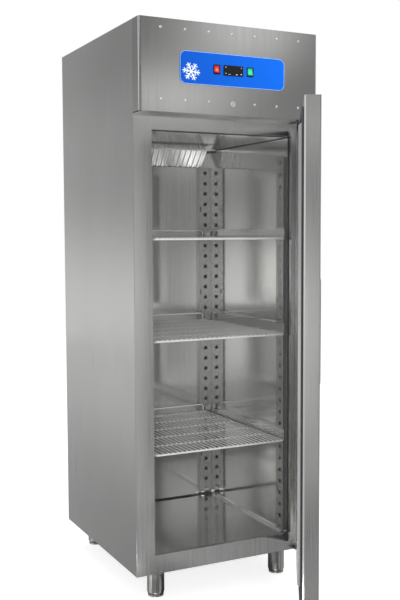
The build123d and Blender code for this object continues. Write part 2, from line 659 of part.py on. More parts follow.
def channel(x0, web_y, returns_to, width):
    """An upright channel whose web faces the front, with one row of square holes and a few keyholes."""
    x1 = x0 + width
    web = block(x0, x1, web_y, web_y + UPRIGHT_T, UPRIGHT_Z0, UPRIGHT_Z1)
    web += block(x0, x0 + UPRIGHT_T, web_y, returns_to, UPRIGHT_Z0, UPRIGHT_Z1)
    web += block(x1 - UPRIGHT_T, x1, web_y, returns_to, UPRIGHT_Z0, UPRIGHT_Z1)
    heights = hole_heights()
    hole_x, keyhole_x = x0 + UPRIGHT_W - HOLE_OFFSET, x0 + KEYHOLE_OFFSET
    y0, y1 = web_y - 1, web_y + UPRIGHT_T + 1
    cuts = [front_cut(hole_x, z, HOLE_W, HOLE_H, y0, y1) for z in heights]
    for row in KEYHOLE_ROWS:
        cuts.append(front_cut(keyhole_x, heights[row] - HOLE_PITCH / 2, KEYHOLE_W, KEYHOLE_H, y0, y1))
    return web - cuts


def rear_uprights():
    """The two channels against the rear wall, wide enough to reach the side walls."""
    right = channel(REAR_UPRIGHT_X0, REAR_UPRIGHT_WEB, LINER_BACK, REAR_UPRIGHT_W)
    return separate(both_sides(right))


def front_uprights():
    """The two channels against the side walls, near the door, turned to face each other."""
    depth = LINER_HALF - FRONT_UPRIGHT_WEB
    flat = channel(0, 0, depth, UPRIGHT_W)
    right = Pos(FRONT_UPRIGHT_WEB, FRONT_UPRIGHT_Y0 + UPRIGHT_W, 0) * Rot(0, 0, -90) * flat
    return separate(both_sides(right))


def runners(level):
    """A pair of angle runners with hooks through the uprights' holes and a lip out to the side walls."""
    hole_z = hole_heights()[SHELF_ROWS[level]]
    top = shelf_height(level) - RUNNER_DROP
    x1 = RUNNER_X + RUNNER_T
    crest = shelf_height(level) + RUNNER_RISE
    leg = block(RUNNER_X, x1, RUNNER_FRONT, RUNNER_BACK, top - RUNNER_T, crest)
    lip_y0 = FRONT_UPRIGHT_Y0 + UPRIGHT_W + 1
    lip = block(RUNNER_X, LINER_HALF - RUNNER_LIP_GAP, lip_y0, RUNNER_BACK, crest - RUNNER_T, crest)
    shelf = block(x1 - RUNNER_SHELF_W, x1, RUNNER_FRONT, RUNNER_BACK, top - RUNNER_T, top)
    hook_z0 = hole_z - HOLE_H / 2
    hook_z1 = hook_z0 + HOOK_H
    front_hole_y = FRONT_UPRIGHT_Y0 + HOLE_OFFSET
    front_hook = block(
        x1, x1 + HOOK_REACH, front_hole_y - HOOK_W / 2, front_hole_y + HOOK_W / 2, hook_z0, hook_z1
    )
    rear_hole_x = REAR_UPRIGHT_X0 + UPRIGHT_W - HOLE_OFFSET
    tab = block(
        rear_hole_x - HOOK_W / 2, x1, RUNNER_BACK, RUNNER_BACK + RUNNER_T, hook_z0, hole_z + 12
    )
    rear_hook = block(
        rear_hole_x - HOOK_W / 2,
        rear_hole_x + HOOK_W / 2,
        RUNNER_BACK,
        RUNNER_BACK + RUNNER_T + 2 * HOOK_REACH,
        hook_z0,
        hook_z1,
    )
    right = leg + lip + shelf + front_hook + tab + rear_hook
    return separate(both_sides(right))


def shelf():
    """A wire grid with its top at Z = 0: fine wires over cross wires and a frame of rod, raised at the rear."""
    wire_z = -WIRE_D / 2
    cross_z = -WIRE_D - CROSS_D / 2 + WELD
    rod_z = -WIRE_D - ROD_D / 2 + WELD
    side_x = SHELF_HALF - ROD_D / 2
    front_y, back_y = SHELF_FRONT + ROD_D / 2, SHELF_BACK - ROD_D / 2
    rods = [octagon_rod((x, SHELF_FRONT, rod_z), (x, SHELF_BACK, rod_z), ROD_D) for x in (-side_x, side_x)]
    for y in (front_y, back_y):
        rods.append(octagon_rod((-side_x, y, rod_z), (side_x, y, rod_z), ROD_D))
    for i in range(CROSS_COUNT):
        y = front_y + (back_y - front_y) * (i + 1) / (CROSS_COUNT + 1)
        rods.append(octagon_rod((-side_x, y, cross_z), (side_x, y, cross_z), CROSS_D))
    for i in range(WIRE_COUNT):
        x = WIRE_SPAN * (i / (WIRE_COUNT - 1) - 0.5)
        rods.append(octagon_rod((x, SHELF_FRONT + 1, wire_z), (x, SHELF_BACK - 1, wire_z), WIRE_D))
    return rods[0].fuse(*rods[1:], upstand(back_y, rod_z))


def upstand(y, z0):
    """The raised wire along a shelf's rear edge."""
    top = UPSTAND_H - UPSTAND_D / 2
    path = FilletPolyline(
        (-UPSTAND_HALF, y, z0), (-UPSTAND_HALF, y, top), (UPSTAND_HALF, y, top), (UPSTAND_HALF, y, z0),
        radius=UPSTAND_CORNER,
    )
    section = Plane(origin=path @ 0, x_dir=(1, 0, 0), z_dir=path % 0)
    return sweep(section * RegularPolygon(UPSTAND_D / 2, 8, major_radius=False, rotation=22.5), path)


def duct_panel():
    """The plain sheet in front of the rear wall, held off it by pressed feet."""
    sheet = block(-DUCT_HALF, DUCT_HALF, DUCT_FRONT, DUCT_FRONT + SHEET, DUCT_Z0, DUCT_Z1)
    for x in (-DUCT_HALF, DUCT_HALF - SHEET):
        sheet += block(x, x + SHEET, DUCT_FRONT, DUCT_FRONT + 6, DUCT_Z0, DUCT_Z1)
    feet = [
        barrel(x, z, DUCT_FRONT + SHEET, LINER_BACK, DUCT_FOOT_R)
        for x in (-170, 170)
        for z in (230, 860, 1500)
    ]
    return sheet + feet


def air_deflector():
    """The ribbed sheet that slopes from the ceiling to the duct panel, with a cheek at each end."""
    drop = LINER_CEILING - DEFLECTOR_BOTTOM_Z
    run = DEFLECTOR_BOTTOM_Y - DEFLECTOR_TOP_Y
    length = sqrt(drop**2 + run**2)
    cheek = Polyline(
        (DEFLECTOR_TOP_Y, LINER_CEILING), (LINER_BACK, LINER_CEILING), (LINER_BACK, DEFLECTOR_BOTTOM_Z),
        (DEFLECTOR_BOTTOM_Y, DEFLECTOR_BOTTOM_Z), close=True,
    )
    cheek_face = Plane(origin=(0, 0, 0), x_dir=(0, 1, 0), z_dir=(1, 0, 0)) * make_face(cheek)
    wave = deflector_wave()
    slope = Plane(
        origin=(0, DEFLECTOR_TOP_Y, LINER_CEILING), x_dir=(1, 0, 0), z_dir=(0, run / length, -drop / length)
    )
    sheet = extrude(slope.offset(-20) * wave, length + 40)
    room = extrude(cheek_face, DEFLECTOR_HALF, both=True)
    cheeks = [
        Pos(x, 0, 0) * extrude(cheek_face, SHEET) for x in (-DEFLECTOR_HALF, DEFLECTOR_HALF - SHEET)
    ]
    return (sheet & room) + cheeks


def deflector_wave():
    """The section of the ribbed sheet: flat tops and bottoms joined by steep flanks, a sheet thick."""
    count = int(2 * DEFLECTOR_HALF / RIB_PITCH)
    front = []
    for i in range(count):
        x = -DEFLECTOR_HALF + i * RIB_PITCH
        front += [
            (x, 0),
            (x + 0.35 * RIB_PITCH, 0),
            (x + 0.5 * RIB_PITCH, -RIB_H),
            (x + 0.85 * RIB_PITCH, -RIB_H),
        ]
    front.append((DEFLECTOR_HALF, 0))
    back = [(x, y - DEFLECTOR_T) for x, y in reversed(front)]
    return make_face(Polyline(*front, *back, close=True))


def return_grille():
    """The slotted plate that fills the return air way in the ceiling."""
    plate = block(
        -RETURN_HALF, RETURN_HALF, RETURN_FRONT, RETURN_BACK, LINER_CEILING, LINER_CEILING + SHEET
    )
    slots = [
        block(x - 6, x + 6, RETURN_FRONT + 8, RETURN_BACK - 8, LINER_CEILING - 1, LINER_CEILING + SHEET + 1)
        for x in range(-150, 151, 20)
    ]
    return plate - slots


# Refrigeration unit


def fan(radius, hub, chord):
    """An axial fan about the Z axis: a bored hub and five blades that twist flatter towards their tips."""
    blades, root_pitch, tip_pitch, thickness = 5, 42, 24, 1.6
    sections = [
        Plane.YZ.offset(reach) * Rot(0, 0, pitch) * Rectangle(chord * width, thickness)
        for reach, pitch, width in ((hub - 3, root_pitch, 0.6), (radius, tip_pitch, 1.0))
    ]
    blade = loft(sections, ruled=True)
    wheel = Cylinder(hub, hub) + [Rot(0, 0, 360 / blades * i) * blade for i in range(blades)]
    limit = Cylinder(radius, hub * 4)
    return (wheel & limit) - Cylinder(FAN_BORE_R, hub)


def fan_shroud(width, height, hole_r, motor_r, motor_length, hub):
    """A fan's mounting plate, three arms and the motor behind them, with the shaft through the hub's place."""
    plate = Box(width, height, 2) - Cylinder(hole_r, 4)
    motor_z = hub / 2 + 4
    motor = Pos(0, 0, motor_z + motor_length / 2) * Cylinder(motor_r, motor_length)
    shaft = Pos(0, 0, motor_z - hub / 2 - 2) * Cylinder(MOTOR_SHAFT_R, hub + 4)
    reach, arm_w, arm_t, foot_w = hole_r + 8, 8, 3, 6
    foot_h = motor_z + 4 + arm_t / 2
    arm = Pos(reach / 2, 0, motor_z + 4) * Box(reach, arm_w, arm_t)
    arm += Pos(reach - foot_w / 2, 0, foot_h / 2) * Box(foot_w, arm_w, foot_h)
    return plate + motor + shaft + [Rot(0, 0, 90 + 120 * i) * arm for i in range(3)]


def behind(x, y, z):
    """Stands a piece that was made about Z at a place, with its upper end towards the back."""
    return Pos(x, y, z) * Rot(-90, 0, 0)


def condenser_fan():
    """The fan that draws air through the condenser."""
    return behind(COND_FAN_X, COND_FAN_Y, COND_FAN_Z) * fan(COND_FAN_R, COND_FAN_HUB, COND_FAN_CHORD)


def condenser_fan_shroud():
    """The condenser fan's plate and motor."""
    place = behind(COND_FAN_X, COND_FAN_Y, COND_FAN_Z)
    height = 2 * (COND_FAN_Z - UNIT_Z - 1.5)
    return place * fan_shroud(2 * COND_COIL_HALF + 10, height, COND_FAN_HOLE_R, 34, 48, COND_FAN_HUB)


def evaporator_fan():
    """The fan that drives the cold air."""
    return behind(0, EVAP_FAN_Y, EVAP_FAN_Z) * fan(EVAP_FAN_R, EVAP_FAN_HUB, EVAP_FAN_CHORD)


def evaporator_fan_shroud():
    """The partition in the evaporator housing, with its fan motor."""
    width = 2 * (HOUSING_HALF - HOUSING_WALL)
    height = HOUSING_TOP - UNIT_Z - 2 * HOUSING_WALL
    middle_z = (HOUSING_TOP + UNIT_Z) / 2
    plate = fan_shroud(width, 2 * EVAP_FAN_HOLE_R + 20, EVAP_FAN_HOLE_R, 30, 38, EVAP_FAN_HUB)
    placed = behind(0, EVAP_FAN_Y, EVAP_FAN_Z) * plate
    wall = block(
        -width / 2, width / 2, EVAP_FAN_Y - 1, EVAP_FAN_Y + 1, middle_z - height / 2, middle_z + height / 2
    )
    return placed + (wall - barrel(0, EVAP_FAN_Z, EVAP_FAN_Y - 2, EVAP_FAN_Y + 2, EVAP_FAN_HOLE_R))


def evaporator_housing():
    """The insulated box over the air ways."""
    outer = block(-HOUSING_HALF, HOUSING_HALF, HOUSING_FRONT, HOUSING_BACK, UNIT_Z, HOUSING_TOP)
    wall = HOUSING_WALL
    room = block(
        -HOUSING_HALF + wall,
        HOUSING_HALF - wall,
        HOUSING_FRONT + wall,
        HOUSING_BACK - wall,
        UNIT_Z + wall,
        HOUSING_TOP - wall,
    )
    return outer - room - air_ways(UNIT_Z - 1, UNIT_Z + wall + 1)


def coil(x0, x1, y0, y1, z0, z1, rows):
    """A finned block with an end plate on each side and return bends outside the plates."""
    core = block(x0, x1, y0, y1, z0, z1)
    plates = [block(x, x + COIL_PLATE_T, y0 - 6, y1 + 6, z0, z1) for x in (x0 - COIL_PLATE_T, x1)]
    half_pitch = (z1 - z0) / (4 * rows)
    x, y = x1 + COIL_PLATE_T, (y0 + y1) / 2
    bends = []
    for i in range(rows):
        z = z0 + half_pitch * (4 * i + 2)
        path = ThreePointArc((x, y, z - half_pitch), (x + half_pitch, y, z), (x, y, z + half_pitch))
        section = Plane(origin=path @ 0, x_dir=(0, 1, 0), z_dir=(1, 0, 0))
        bends.append(sweep(section * Circle(COIL_TUBE_R), path))
    return core + plates + bends


def condenser_coil():
    """The condenser, behind the hood."""
    x0, x1 = COND_FAN_X - COND_COIL_HALF, COND_FAN_X + COND_COIL_HALF
    return coil(x0, x1, COND_COIL_FRONT, COND_COIL_BACK, UNIT_Z + TRAY_T, COND_COIL_TOP, 6)


def evaporator_coil():
    """The evaporator, between the return air way and its fan."""
    z0, z1 = UNIT_Z + HOUSING_WALL, HOUSING_TOP - HOUSING_WALL - 4
    return coil(-EVAP_COIL_HALF, EVAP_COIL_HALF, EVAP_COIL_FRONT, EVAP_COIL_BACK, z0, z1, 5)


def unit_base():
    """The tray that carries the compressor and the condenser, with its edges turned up."""
    tray = block(TRAY_X0, TRAY_X1, TRAY_Y0, TRAY_Y1, UNIT_Z, UNIT_Z + TRAY_H)
    return tray - block(
        TRAY_X0 + TRAY_T, TRAY_X1 - TRAY_T, TRAY_Y0 + TRAY_T, TRAY_Y1 - TRAY_T, UNIT_Z + TRAY_T, UNIT_Z + TRAY_H
    )


def compressor_pot():
    """The welded shell of the compressor: a rounded bottom edge, a straight wall and a domed top."""
    r, h = COMPRESSOR_R, COMPRESSOR_H
    dome_r = (r**2 + DOME_RISE**2) / (2 * DOME_RISE)
    half_turn = asin(r / dome_r) / 2
    crown = (dome_r * sin(half_turn), h - dome_r * (1 - cos(half_turn)))
    floor_r = r - POT_ROUND
    wall_z = POT_FLOOR + POT_ROUND
    edge = (floor_r + POT_ROUND * sin(pi / 4), wall_z - POT_ROUND * cos(pi / 4))
    outline = Polyline((0, h), (0, POT_FLOOR), (floor_r, POT_FLOOR))
    outline += ThreePointArc((floor_r, POT_FLOOR), edge, (r, wall_z))
    outline += Line((r, wall_z), (r, h - DOME_RISE))
    outline += ThreePointArc((r, h - DOME_RISE), crown, (0, h))
    return revolve(Plane.XZ * make_face(outline), Axis.Z)


def compressor():
    """The sealed compressor: a domed pot on a foot plate, with its terminal cover."""
    r = COMPRESSOR_R
    seam = Pos(0, 0, COMPRESSOR_H - 78) * Cylinder(r + 2.5, 5)
    plate = Pos(0, 0, 10) * Box(2 * r + 20, 120, 4)
    feet = [Pos(x, y, 4) * Cylinder(12, 8) for x in (-r + 4, r - 4) for y in (-45, 45)]
    core = Pos(0, 0, 13) * Cylinder(40, 4)
    cover = Pos(r - 5, 0, 80) * Box(36, 46, 52)
    place = Pos(COMPRESSOR_X, COMPRESSOR_Y, UNIT_Z + TRAY_T)
    return place * (compressor_pot() + seam + plate + feet + core + cover)


def electrical_box():
    """The box that holds the terminals and relays, beside the evaporator housing."""
    x0, x1, y0, y1, height, corner = 252, 332, -40, 120, 150, 4
    box = block(x0, x1, y0, y1, UNIT_Z, UNIT_Z + height)
    return fillet(box.edges().filter_by(Axis.Z), corner)


def refrigerant_pipes():
    """The discharge, suction and liquid lines, the last with its filter drier."""
    top_z = UNIT_Z + TRAY_T + COMPRESSOR_H
    pot_x, pot_y = COMPRESSOR_X, COMPRESSOR_Y
    coil_x = COND_FAN_X - COND_COIL_HALF - COIL_PLATE_T
    wall_y = HOUSING_FRONT
    discharge = pipe(
        (pot_x, pot_y, top_z), (pot_x, pot_y, top_z + 45), (pot_x, LINE_Y, top_z + 45),
        (coil_x, LINE_Y, top_z + 45), radius=18,
    )
    suction = pipe(
        (pot_x + 50, pot_y + 50, top_z - 27), (pot_x + 50, pot_y + 50, top_z + 30),
        (pot_x + 50, wall_y, top_z + 30), radius=18,
    )
    drier_x, drier_y, drier_end_y = coil_x - 40, -205, -120
    liquid = pipe(
        (coil_x, LINE_Y, LIQUID_Z), (drier_x, LINE_Y, LIQUID_Z), (drier_x, drier_end_y, LIQUID_Z),
        (drier_x, drier_end_y, LIQUID_Z + 70), (drier_x, wall_y, LIQUID_Z + 70), radius=14,
    )
    drier = barrel(drier_x, LIQUID_Z, drier_y - DRIER_HALF, drier_y + DRIER_HALF, DRIER_R)
    return separate([discharge, suction, liquid + drier])


def pipe(*points, radius):
    """A round tube along straight runs joined by arcs."""
    path = FilletPolyline(*points, radius=radius)
    return sweep(Plane(origin=path @ 0, z_dir=path % 0) * Circle(PIPE_R), path)


def cabinet_nodes():
    """The fixed outer pieces of the cabinet and its legs and feet."""
    right = side_panel()
    nodes = {
        "side_panel_right": right,
        "side_panel_left": mirror(right, Plane.YZ),
        "rear_panel": rear_panel(),
        "rear_grille": rear_grille(),
        "cable_gland": cable_gland(),
        "base_pan": base_pan(),
        "compartment_deck": compartment_deck(),
        "front_frame": front_frame(),
        "cabinet_insulation": cabinet_insulation(),
        "inner_liner": inner_liner(),
        "leg_tubes": leg_tubes(),
    }
    for row, y in (("front", -FOOT_Y), ("rear", FOOT_Y)):
        for side, x in (("left", -FOOT_X), ("right", FOOT_X)):
            nodes[f"foot_{row}_{side}"] = foot(x, y)
    return nodes


def hood_nodes():
    """The hood and everything on it."""
    nodes = {
        "hood_panel": hood_panel(),
        "hood_screws": hood_screws(),
        "control_overlay": control_overlay(),
        "controller_body": controller_body(),
        "red_switch_body": switch_body(RED_X),
        "red_rocker": rocker(RED_X),
        "green_switch_body": switch_body(GREEN_X),
        "green_rocker": rocker(GREEN_X),
        "lock_housing": lock_housing(),
        "lock_cylinder": lock_cylinder(),
    }
    for name, (x, z) in key_centres().items():
        nodes[name] = controller_key(x, z)
    return nodes


def door_nodes():
    """The door and its hinges."""
    return {
        "top_hinge_plate": top_hinge_plate(),
        "bottom_hinge_plate": bottom_hinge_plate(),
        "hinge_pins": hinge_pins(),
        "hinge_bushes": hinge_swing(hinge_bushes()),
        "door_skin": hinge_swing(door_skin()),
        "door_insulation": hinge_swing(door_insulation()),
        "door_inner_panel": hinge_swing(door_inner_panel()),
        "door_gasket": hinge_swing(door_gasket()),
        "door_grip": hinge_swing(door_grip()),
    }


def interior_nodes():
    """What stands inside the cabinet."""
    nodes = {
        "front_uprights": front_uprights(),
        "rear_uprights": rear_uprights(),
        "duct_panel": duct_panel(),
        "air_deflector": air_deflector(),
        "return_grille": return_grille(),
    }
    grid = shelf()
    for level in SHELF_ROWS:
        nodes[f"{level}_runners"] = runners(level)
        nodes[f"{level}_shelf"] = Pos(0, 0, shelf_height(level)) * grid
    return nodes


def unit_nodes():
    """The refrigeration unit on top of the cabinet."""
    return {
        "unit_base": unit_base(),
        "compressor": compressor(),
        "condenser_coil": condenser_coil(),
        "condenser_fan_shroud": condenser_fan_shroud(),
        "condenser_fan": condenser_fan(),
        "evaporator_housing": evaporator_housing(),
        "evaporator_coil": evaporator_coil(),
        "evaporator_fan_shroud": evaporator_fan_shroud(),
        "evaporator_fan": evaporator_fan(),
        "electrical_box": electrical_box(),
        "refrigerant_pipes": refrigerant_pipes(),
    }


def main():
    """Builds every node and writes it out."""
    os.makedirs("parts", exist_ok=True)
    for nodes in (cabinet_nodes(), hood_nodes(), door_nodes(), interior_nodes(), unit_nodes()):
        for name, part in nodes.items():
            export_step(part, f"parts/{name}.step")


main()
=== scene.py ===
"""Looks of a commercial upright freezer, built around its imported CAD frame.

Sizes are in millimetres unless a comment says otherwise. X runs to the right, Y to the back and Z up.
"""

from __future__ import annotations

import json
import logging
import math
from collections.abc import Iterable, Sequence
from dataclasses import dataclass, field
from enum import Enum
from functools import cache
from itertools import product

import bmesh
import bpy
from mathutils import Matrix, Vector

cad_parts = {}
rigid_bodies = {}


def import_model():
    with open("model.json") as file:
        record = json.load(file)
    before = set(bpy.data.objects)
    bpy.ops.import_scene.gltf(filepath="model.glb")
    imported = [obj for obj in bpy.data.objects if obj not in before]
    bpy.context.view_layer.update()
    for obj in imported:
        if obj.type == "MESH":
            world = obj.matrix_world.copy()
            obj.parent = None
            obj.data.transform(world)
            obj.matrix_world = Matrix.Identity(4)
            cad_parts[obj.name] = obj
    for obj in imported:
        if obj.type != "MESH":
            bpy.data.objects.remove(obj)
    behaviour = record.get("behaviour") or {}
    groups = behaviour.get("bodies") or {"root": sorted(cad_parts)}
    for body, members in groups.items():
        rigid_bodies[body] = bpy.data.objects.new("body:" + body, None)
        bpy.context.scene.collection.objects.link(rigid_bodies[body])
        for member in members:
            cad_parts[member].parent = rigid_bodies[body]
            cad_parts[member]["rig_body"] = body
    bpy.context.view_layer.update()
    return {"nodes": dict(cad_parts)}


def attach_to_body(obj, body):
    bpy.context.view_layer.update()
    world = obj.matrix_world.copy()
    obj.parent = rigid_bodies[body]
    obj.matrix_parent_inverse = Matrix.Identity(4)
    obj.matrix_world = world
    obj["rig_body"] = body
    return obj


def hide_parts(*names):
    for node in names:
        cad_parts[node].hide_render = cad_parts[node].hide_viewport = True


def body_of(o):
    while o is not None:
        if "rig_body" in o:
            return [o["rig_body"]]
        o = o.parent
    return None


MM = 0.001
log = logging.getLogger("freezer")

Point = tuple[float, float, float]
Profile = Sequence[tuple[float, float]]
Tree = bpy.types.NodeTree
Socket = bpy.types.NodeSocket
Corners = Sequence[bmesh.types.BMVert]


class Side(Enum):
    """The two sides of the freezer, by the sign of X."""

    LEFT = -1
    RIGHT = 1


class End(Enum):
    """The two ends of its depth, by the sign of Y."""

    FRONT = -1
    REAR = 1


# Points that lie closer than this, in metres, are one point.
SAME_POINT = 1e-6
# Nearly all of a noise pattern lies between these two values.
NOISE_LOW, NOISE_HIGH = 0.3, 0.7
# Faces that meet at less than this, in degrees, are one flat face.
FLAT_ANGLE = 0.5
# Bends below this, in degrees, shade round; so does an eased edge up to the wider angle.
ROUND_ANGLE, EASED_ANGLE = 35.0, 50.0


def linear(code: str) -> tuple[float, float, float, float]:
    """Turns an sRGB hex colour into the linear values that shaders use.

    Args:
        code: The colour, such as "#A0B1C2".

    Returns:
        Red, green, blue and an alpha of 1.
    """
    values = [int(code[i : i + 2], 16) / 255 for i in (1, 3, 5)]
    red, green, blue = (v / 12.92 if v <= 0.04045 else ((v + 0.055) / 1.055) ** 2.4 for v in values)
    return red, green, blue, 1.0


def add_node(
    tree: Tree, kind: str, inputs: dict | None = None, **settings: object
) -> bpy.types.Node:
    """Adds a node with its settings, and with values or links for its inputs.

    Args:
        tree: The tree that the node joins.
        kind: The node's type.
        inputs: A value or an output socket for each input, by its name or its number.
        settings: The node's own properties.

    Returns:
        The node.
    """
    node = tree.nodes.new(kind)
    for name, value in settings.items():
        setattr(node, name, value)
    for name, value in (inputs or {}).items():
        if isinstance(value, Socket):
            tree.links.new(value, node.inputs[name])
        else:
            node.inputs[name].default_value = value
    return node


def reckon(tree: Tree, operation: str, *values: object) -> Socket:
    """Adds one step of arithmetic.

    Args:
        tree: The tree that the step joins.
        operation: What is done, such as "ADD".
        values: The numbers or output sockets that it is done with.

    Returns:
        The result.
    """
    return add_node(tree, "ShaderNodeMath", dict(enumerate(values)), operation=operation).outputs[0]


# Finishes


def blank_material(name: str) -> tuple[bpy.types.Material, Tree]:
    """Starts a material and gives it with its empty tree."""
    material = bpy.data.materials.new(name)
    material.use_nodes = True
    material.node_tree.nodes.clear()
    return material, material.node_tree


def noise_of(tree: Tree, cell: Point, detail: float = 2.0) -> Socket:
    """Adds a noise pattern with cells of a real size.

    Args:
        tree: The material's tree.
        cell: The cell's size on each axis.
        detail: How many finer octaves the noise has.

    Returns:
        The pattern's value, about 0.5 on average.
    """
    place = add_node(tree, "ShaderNodeTexCoord")
    scale = tuple(1 / (size * MM) for size in cell)
    fitted = add_node(tree, "ShaderNodeMapping", {"Vector": place.outputs["Object"], "Scale": scale})
    inputs = {"Vector": fitted.outputs[0], "Scale": 1.0, "Detail": detail}
    return add_node(tree, "ShaderNodeTexNoise", inputs).outputs[0]


def spread(tree: Tree, value: Socket, low: float, high: float) -> Socket:
    """Stretches a noise value to a range.

    Args:
        tree: The material's tree.
        value: The noise.
        low: The result where the noise is low.
        high: The result where the noise is high.

    Returns:
        The stretched value.
    """
    limits = {"From Min": NOISE_LOW, "From Max": NOISE_HIGH, "To Min": low, "To Max": high}
    return add_node(tree, "ShaderNodeMapRange", {"Value": value, **limits}).outputs[0]


def fading(tree: Tree, distance: Socket, reach: float, strength: float) -> Socket:
    """Gives a value that falls off smoothly with distance.

    Args:
        tree: The material's tree.
        distance: How far the shaded point is from the middle.
        reach: The distance at which nothing is left.
        strength: The value in the middle.

    Returns:
        The value.
    """
    limits = {"From Min": 0.0, "From Max": reach, "To Min": strength, "To Max": 0.0}
    inputs = {"Value": distance, **limits}
    return add_node(tree, "ShaderNodeMapRange", inputs, interpolation_type="SMOOTHSTEP").outputs[0]


def mixed(tree: Tree, share: Socket, first: str, second: str) -> Socket:
    """Mixes two colours.

    Args:
        tree: The material's tree.
        share: How much of the second there is, from 0 to 1.
        first: One colour.
        second: The other.

    Returns:
        The mixed colour.
    """
    inputs = {0: share, 6: linear(first), 7: linear(second)}
    return add_node(tree, "ShaderNodeMix", inputs, data_type="RGBA").outputs[2]


def shade(tree: Tree, value: Socket, dark: str, light: str) -> Socket:
    """Mixes two colours by a noise value.

    Args:
        tree: The material's tree.
        value: The noise.
        dark: The colour where the noise is low.
        light: The colour where the noise is high.

    Returns:
        The mixed colour.
    """
    return mixed(tree, spread(tree, value, 0.0, 1.0), dark, light)


def raise_by(
    tree: Tree,
    height: Socket,
    depth: float,
    under: Socket | None = None,
) -> Socket:
    """Turns a height pattern into a bumped normal.

    Args:
        tree: The material's tree.
        height: The pattern.
        depth: The real height from its lowest to its highest point.
        under: A normal that is already bumped, if there is one.

    Returns:
        The normal.
    """
    inputs = {"Height": height, "Strength": 1.0, "Distance": depth * MM}
    if under is not None:
        inputs["Normal"] = under
    return add_node(tree, "ShaderNodeBump", inputs).outputs[0]


@dataclass(frozen=True)
class Finish:
    """A finish: its name, its colour, how blurred its gloss is, and how much of it is bare metal."""

    name: str
    colour: str
    roughness: float
    metallic: float = field(default=0.0, kw_only=True)

    def material(self) -> bpy.types.Material:
        """Builds the finish's material."""
        material, tree = blank_material(self.name)
        surface = {"Base Color": linear(self.colour), "Roughness": self.roughness, "Metallic": self.metallic}
        shader = add_node(tree, "ShaderNodeBsdfPrincipled", surface)
        add_node(tree, "ShaderNodeOutputMaterial", {"Surface": shader.outputs[0]})
        self.pattern(tree, shader)
        return material

    def pattern(self, tree: Tree, shader: bpy.types.Node) -> None:
        """Adds what the eye sees beyond a flat colour; each kind of finish has its own."""
        raise NotImplementedError


@dataclass(frozen=True)
class StainlessSheet(Finish):
    """Stainless sheet, brushed or bright rolled.

    Brushing leaves long fine scratches: between them the sheet mirrors, and in them it only glows, so a sharp
    image lies under a haze. A large panel is never quite flat, so what it mirrors bends a little. Real
    scratches are 0.05 mm wide, too fine to show, so they are drawn 2 mm wide, or 1 mm on small pieces. The
    finest of all scatter a little light to every side, as a metallic value under 1 does.
    """

    light: str
    haze: float
    grain_width: float = 2.0
    grain_length: float = 240.0
    wave: float = 260.0
    wave_stretch: float = 1.6
    wave_depth: float = 0.5
    cloud: Point = (180.0, 180.0, 300.0)
    metallic: float = field(default=1.0, kw_only=True)

    def pattern(self, tree: Tree, shader: bpy.types.Node) -> None:
        """Adds the brush marks, the cloudy tone and the sheet's waviness."""
        scratches = noise_of(tree, (self.grain_width, self.grain_width, self.grain_length), detail=3.0)
        cloud = noise_of(tree, self.cloud)
        waviness = noise_of(tree, (self.wave, self.wave, self.wave * self.wave_stretch), detail=1.0)
        average = reckon(tree, "MULTIPLY", reckon(tree, "ADD", scratches, cloud), 0.5)
        tree.links.new(shade(tree, average, self.colour, self.light), shader.inputs["Base Color"])
        blur = spread(tree, scratches, self.roughness, self.haze)
        tree.links.new(blur, shader.inputs["Roughness"])
        tree.links.new(raise_by(tree, waviness, self.wave_depth), shader.inputs["Normal"])


@dataclass(frozen=True)
class ZincSheet(Finish):
    """Hot-dip galvanised sheet: dull grey with spangle, crystals about 12 mm across that differ in tone."""

    light: str
    spangle: float = 12.0
    duller: float = 0.08
    shinier: float = 0.06
    metallic: float = field(default=1.0, kw_only=True)

    def pattern(self, tree: Tree, shader: bpy.types.Node) -> None:
        """Adds the crystals."""
        place = add_node(tree, "ShaderNodeTexCoord")
        size = 1 / (self.spangle * MM)
        cells = add_node(tree, "ShaderNodeTexVoronoi", {"Vector": place.outputs["Object"], "Scale": size})
        tone = add_node(tree, "ShaderNodeSeparateColor", {0: cells.outputs["Color"]}).outputs[0]
        tree.links.new(shade(tree, tone, self.colour, self.light), shader.inputs["Base Color"])
        blur = spread(tree, tone, self.roughness - self.shinier, self.roughness + self.duller)
        tree.links.new(blur, shader.inputs["Roughness"])


@dataclass(frozen=True)
class SmallMetal(Finish):
    """Plated, drawn or turned metal in small pieces, with light handling marks."""

    light: str
    mark: float = 6.0
    duller: float = 0.12
    metallic: float = field(default=1.0, kw_only=True)

    def pattern(self, tree: Tree, shader: bpy.types.Node) -> None:
        """Adds the handling marks."""
        marks = noise_of(tree, (self.mark,) * 3, detail=4.0)
        tree.links.new(shade(tree, marks, self.colour, self.light), shader.inputs["Base Color"])
        blur = spread(tree, marks, self.roughness, self.roughness + self.duller)
        tree.links.new(blur, shader.inputs["Roughness"])


@dataclass(frozen=True)
class Moulding(Finish):
    """Moulded plastic, rubber or baked paint: an even colour over a fine texture that breaks up the gloss."""

    light: str
    texture: float = 1.2
    depth: float = 0.03
    cloud: float = 40.0
    uneven: float = 0.05

    def pattern(self, tree: Tree, shader: bpy.types.Node) -> None:
        """Adds the fine texture and a faint cloudy tone."""
        fine = noise_of(tree, (self.texture,) * 3, detail=3.0)
        cloud = noise_of(tree, (self.cloud,) * 3)
        tree.links.new(shade(tree, cloud, self.colour, self.light), shader.inputs["Base Color"])
        blur = spread(tree, fine, self.roughness - self.uneven, self.roughness + self.uneven)
        tree.links.new(blur, shader.inputs["Roughness"])
        tree.links.new(raise_by(tree, fine, self.depth), shader.inputs["Normal"])


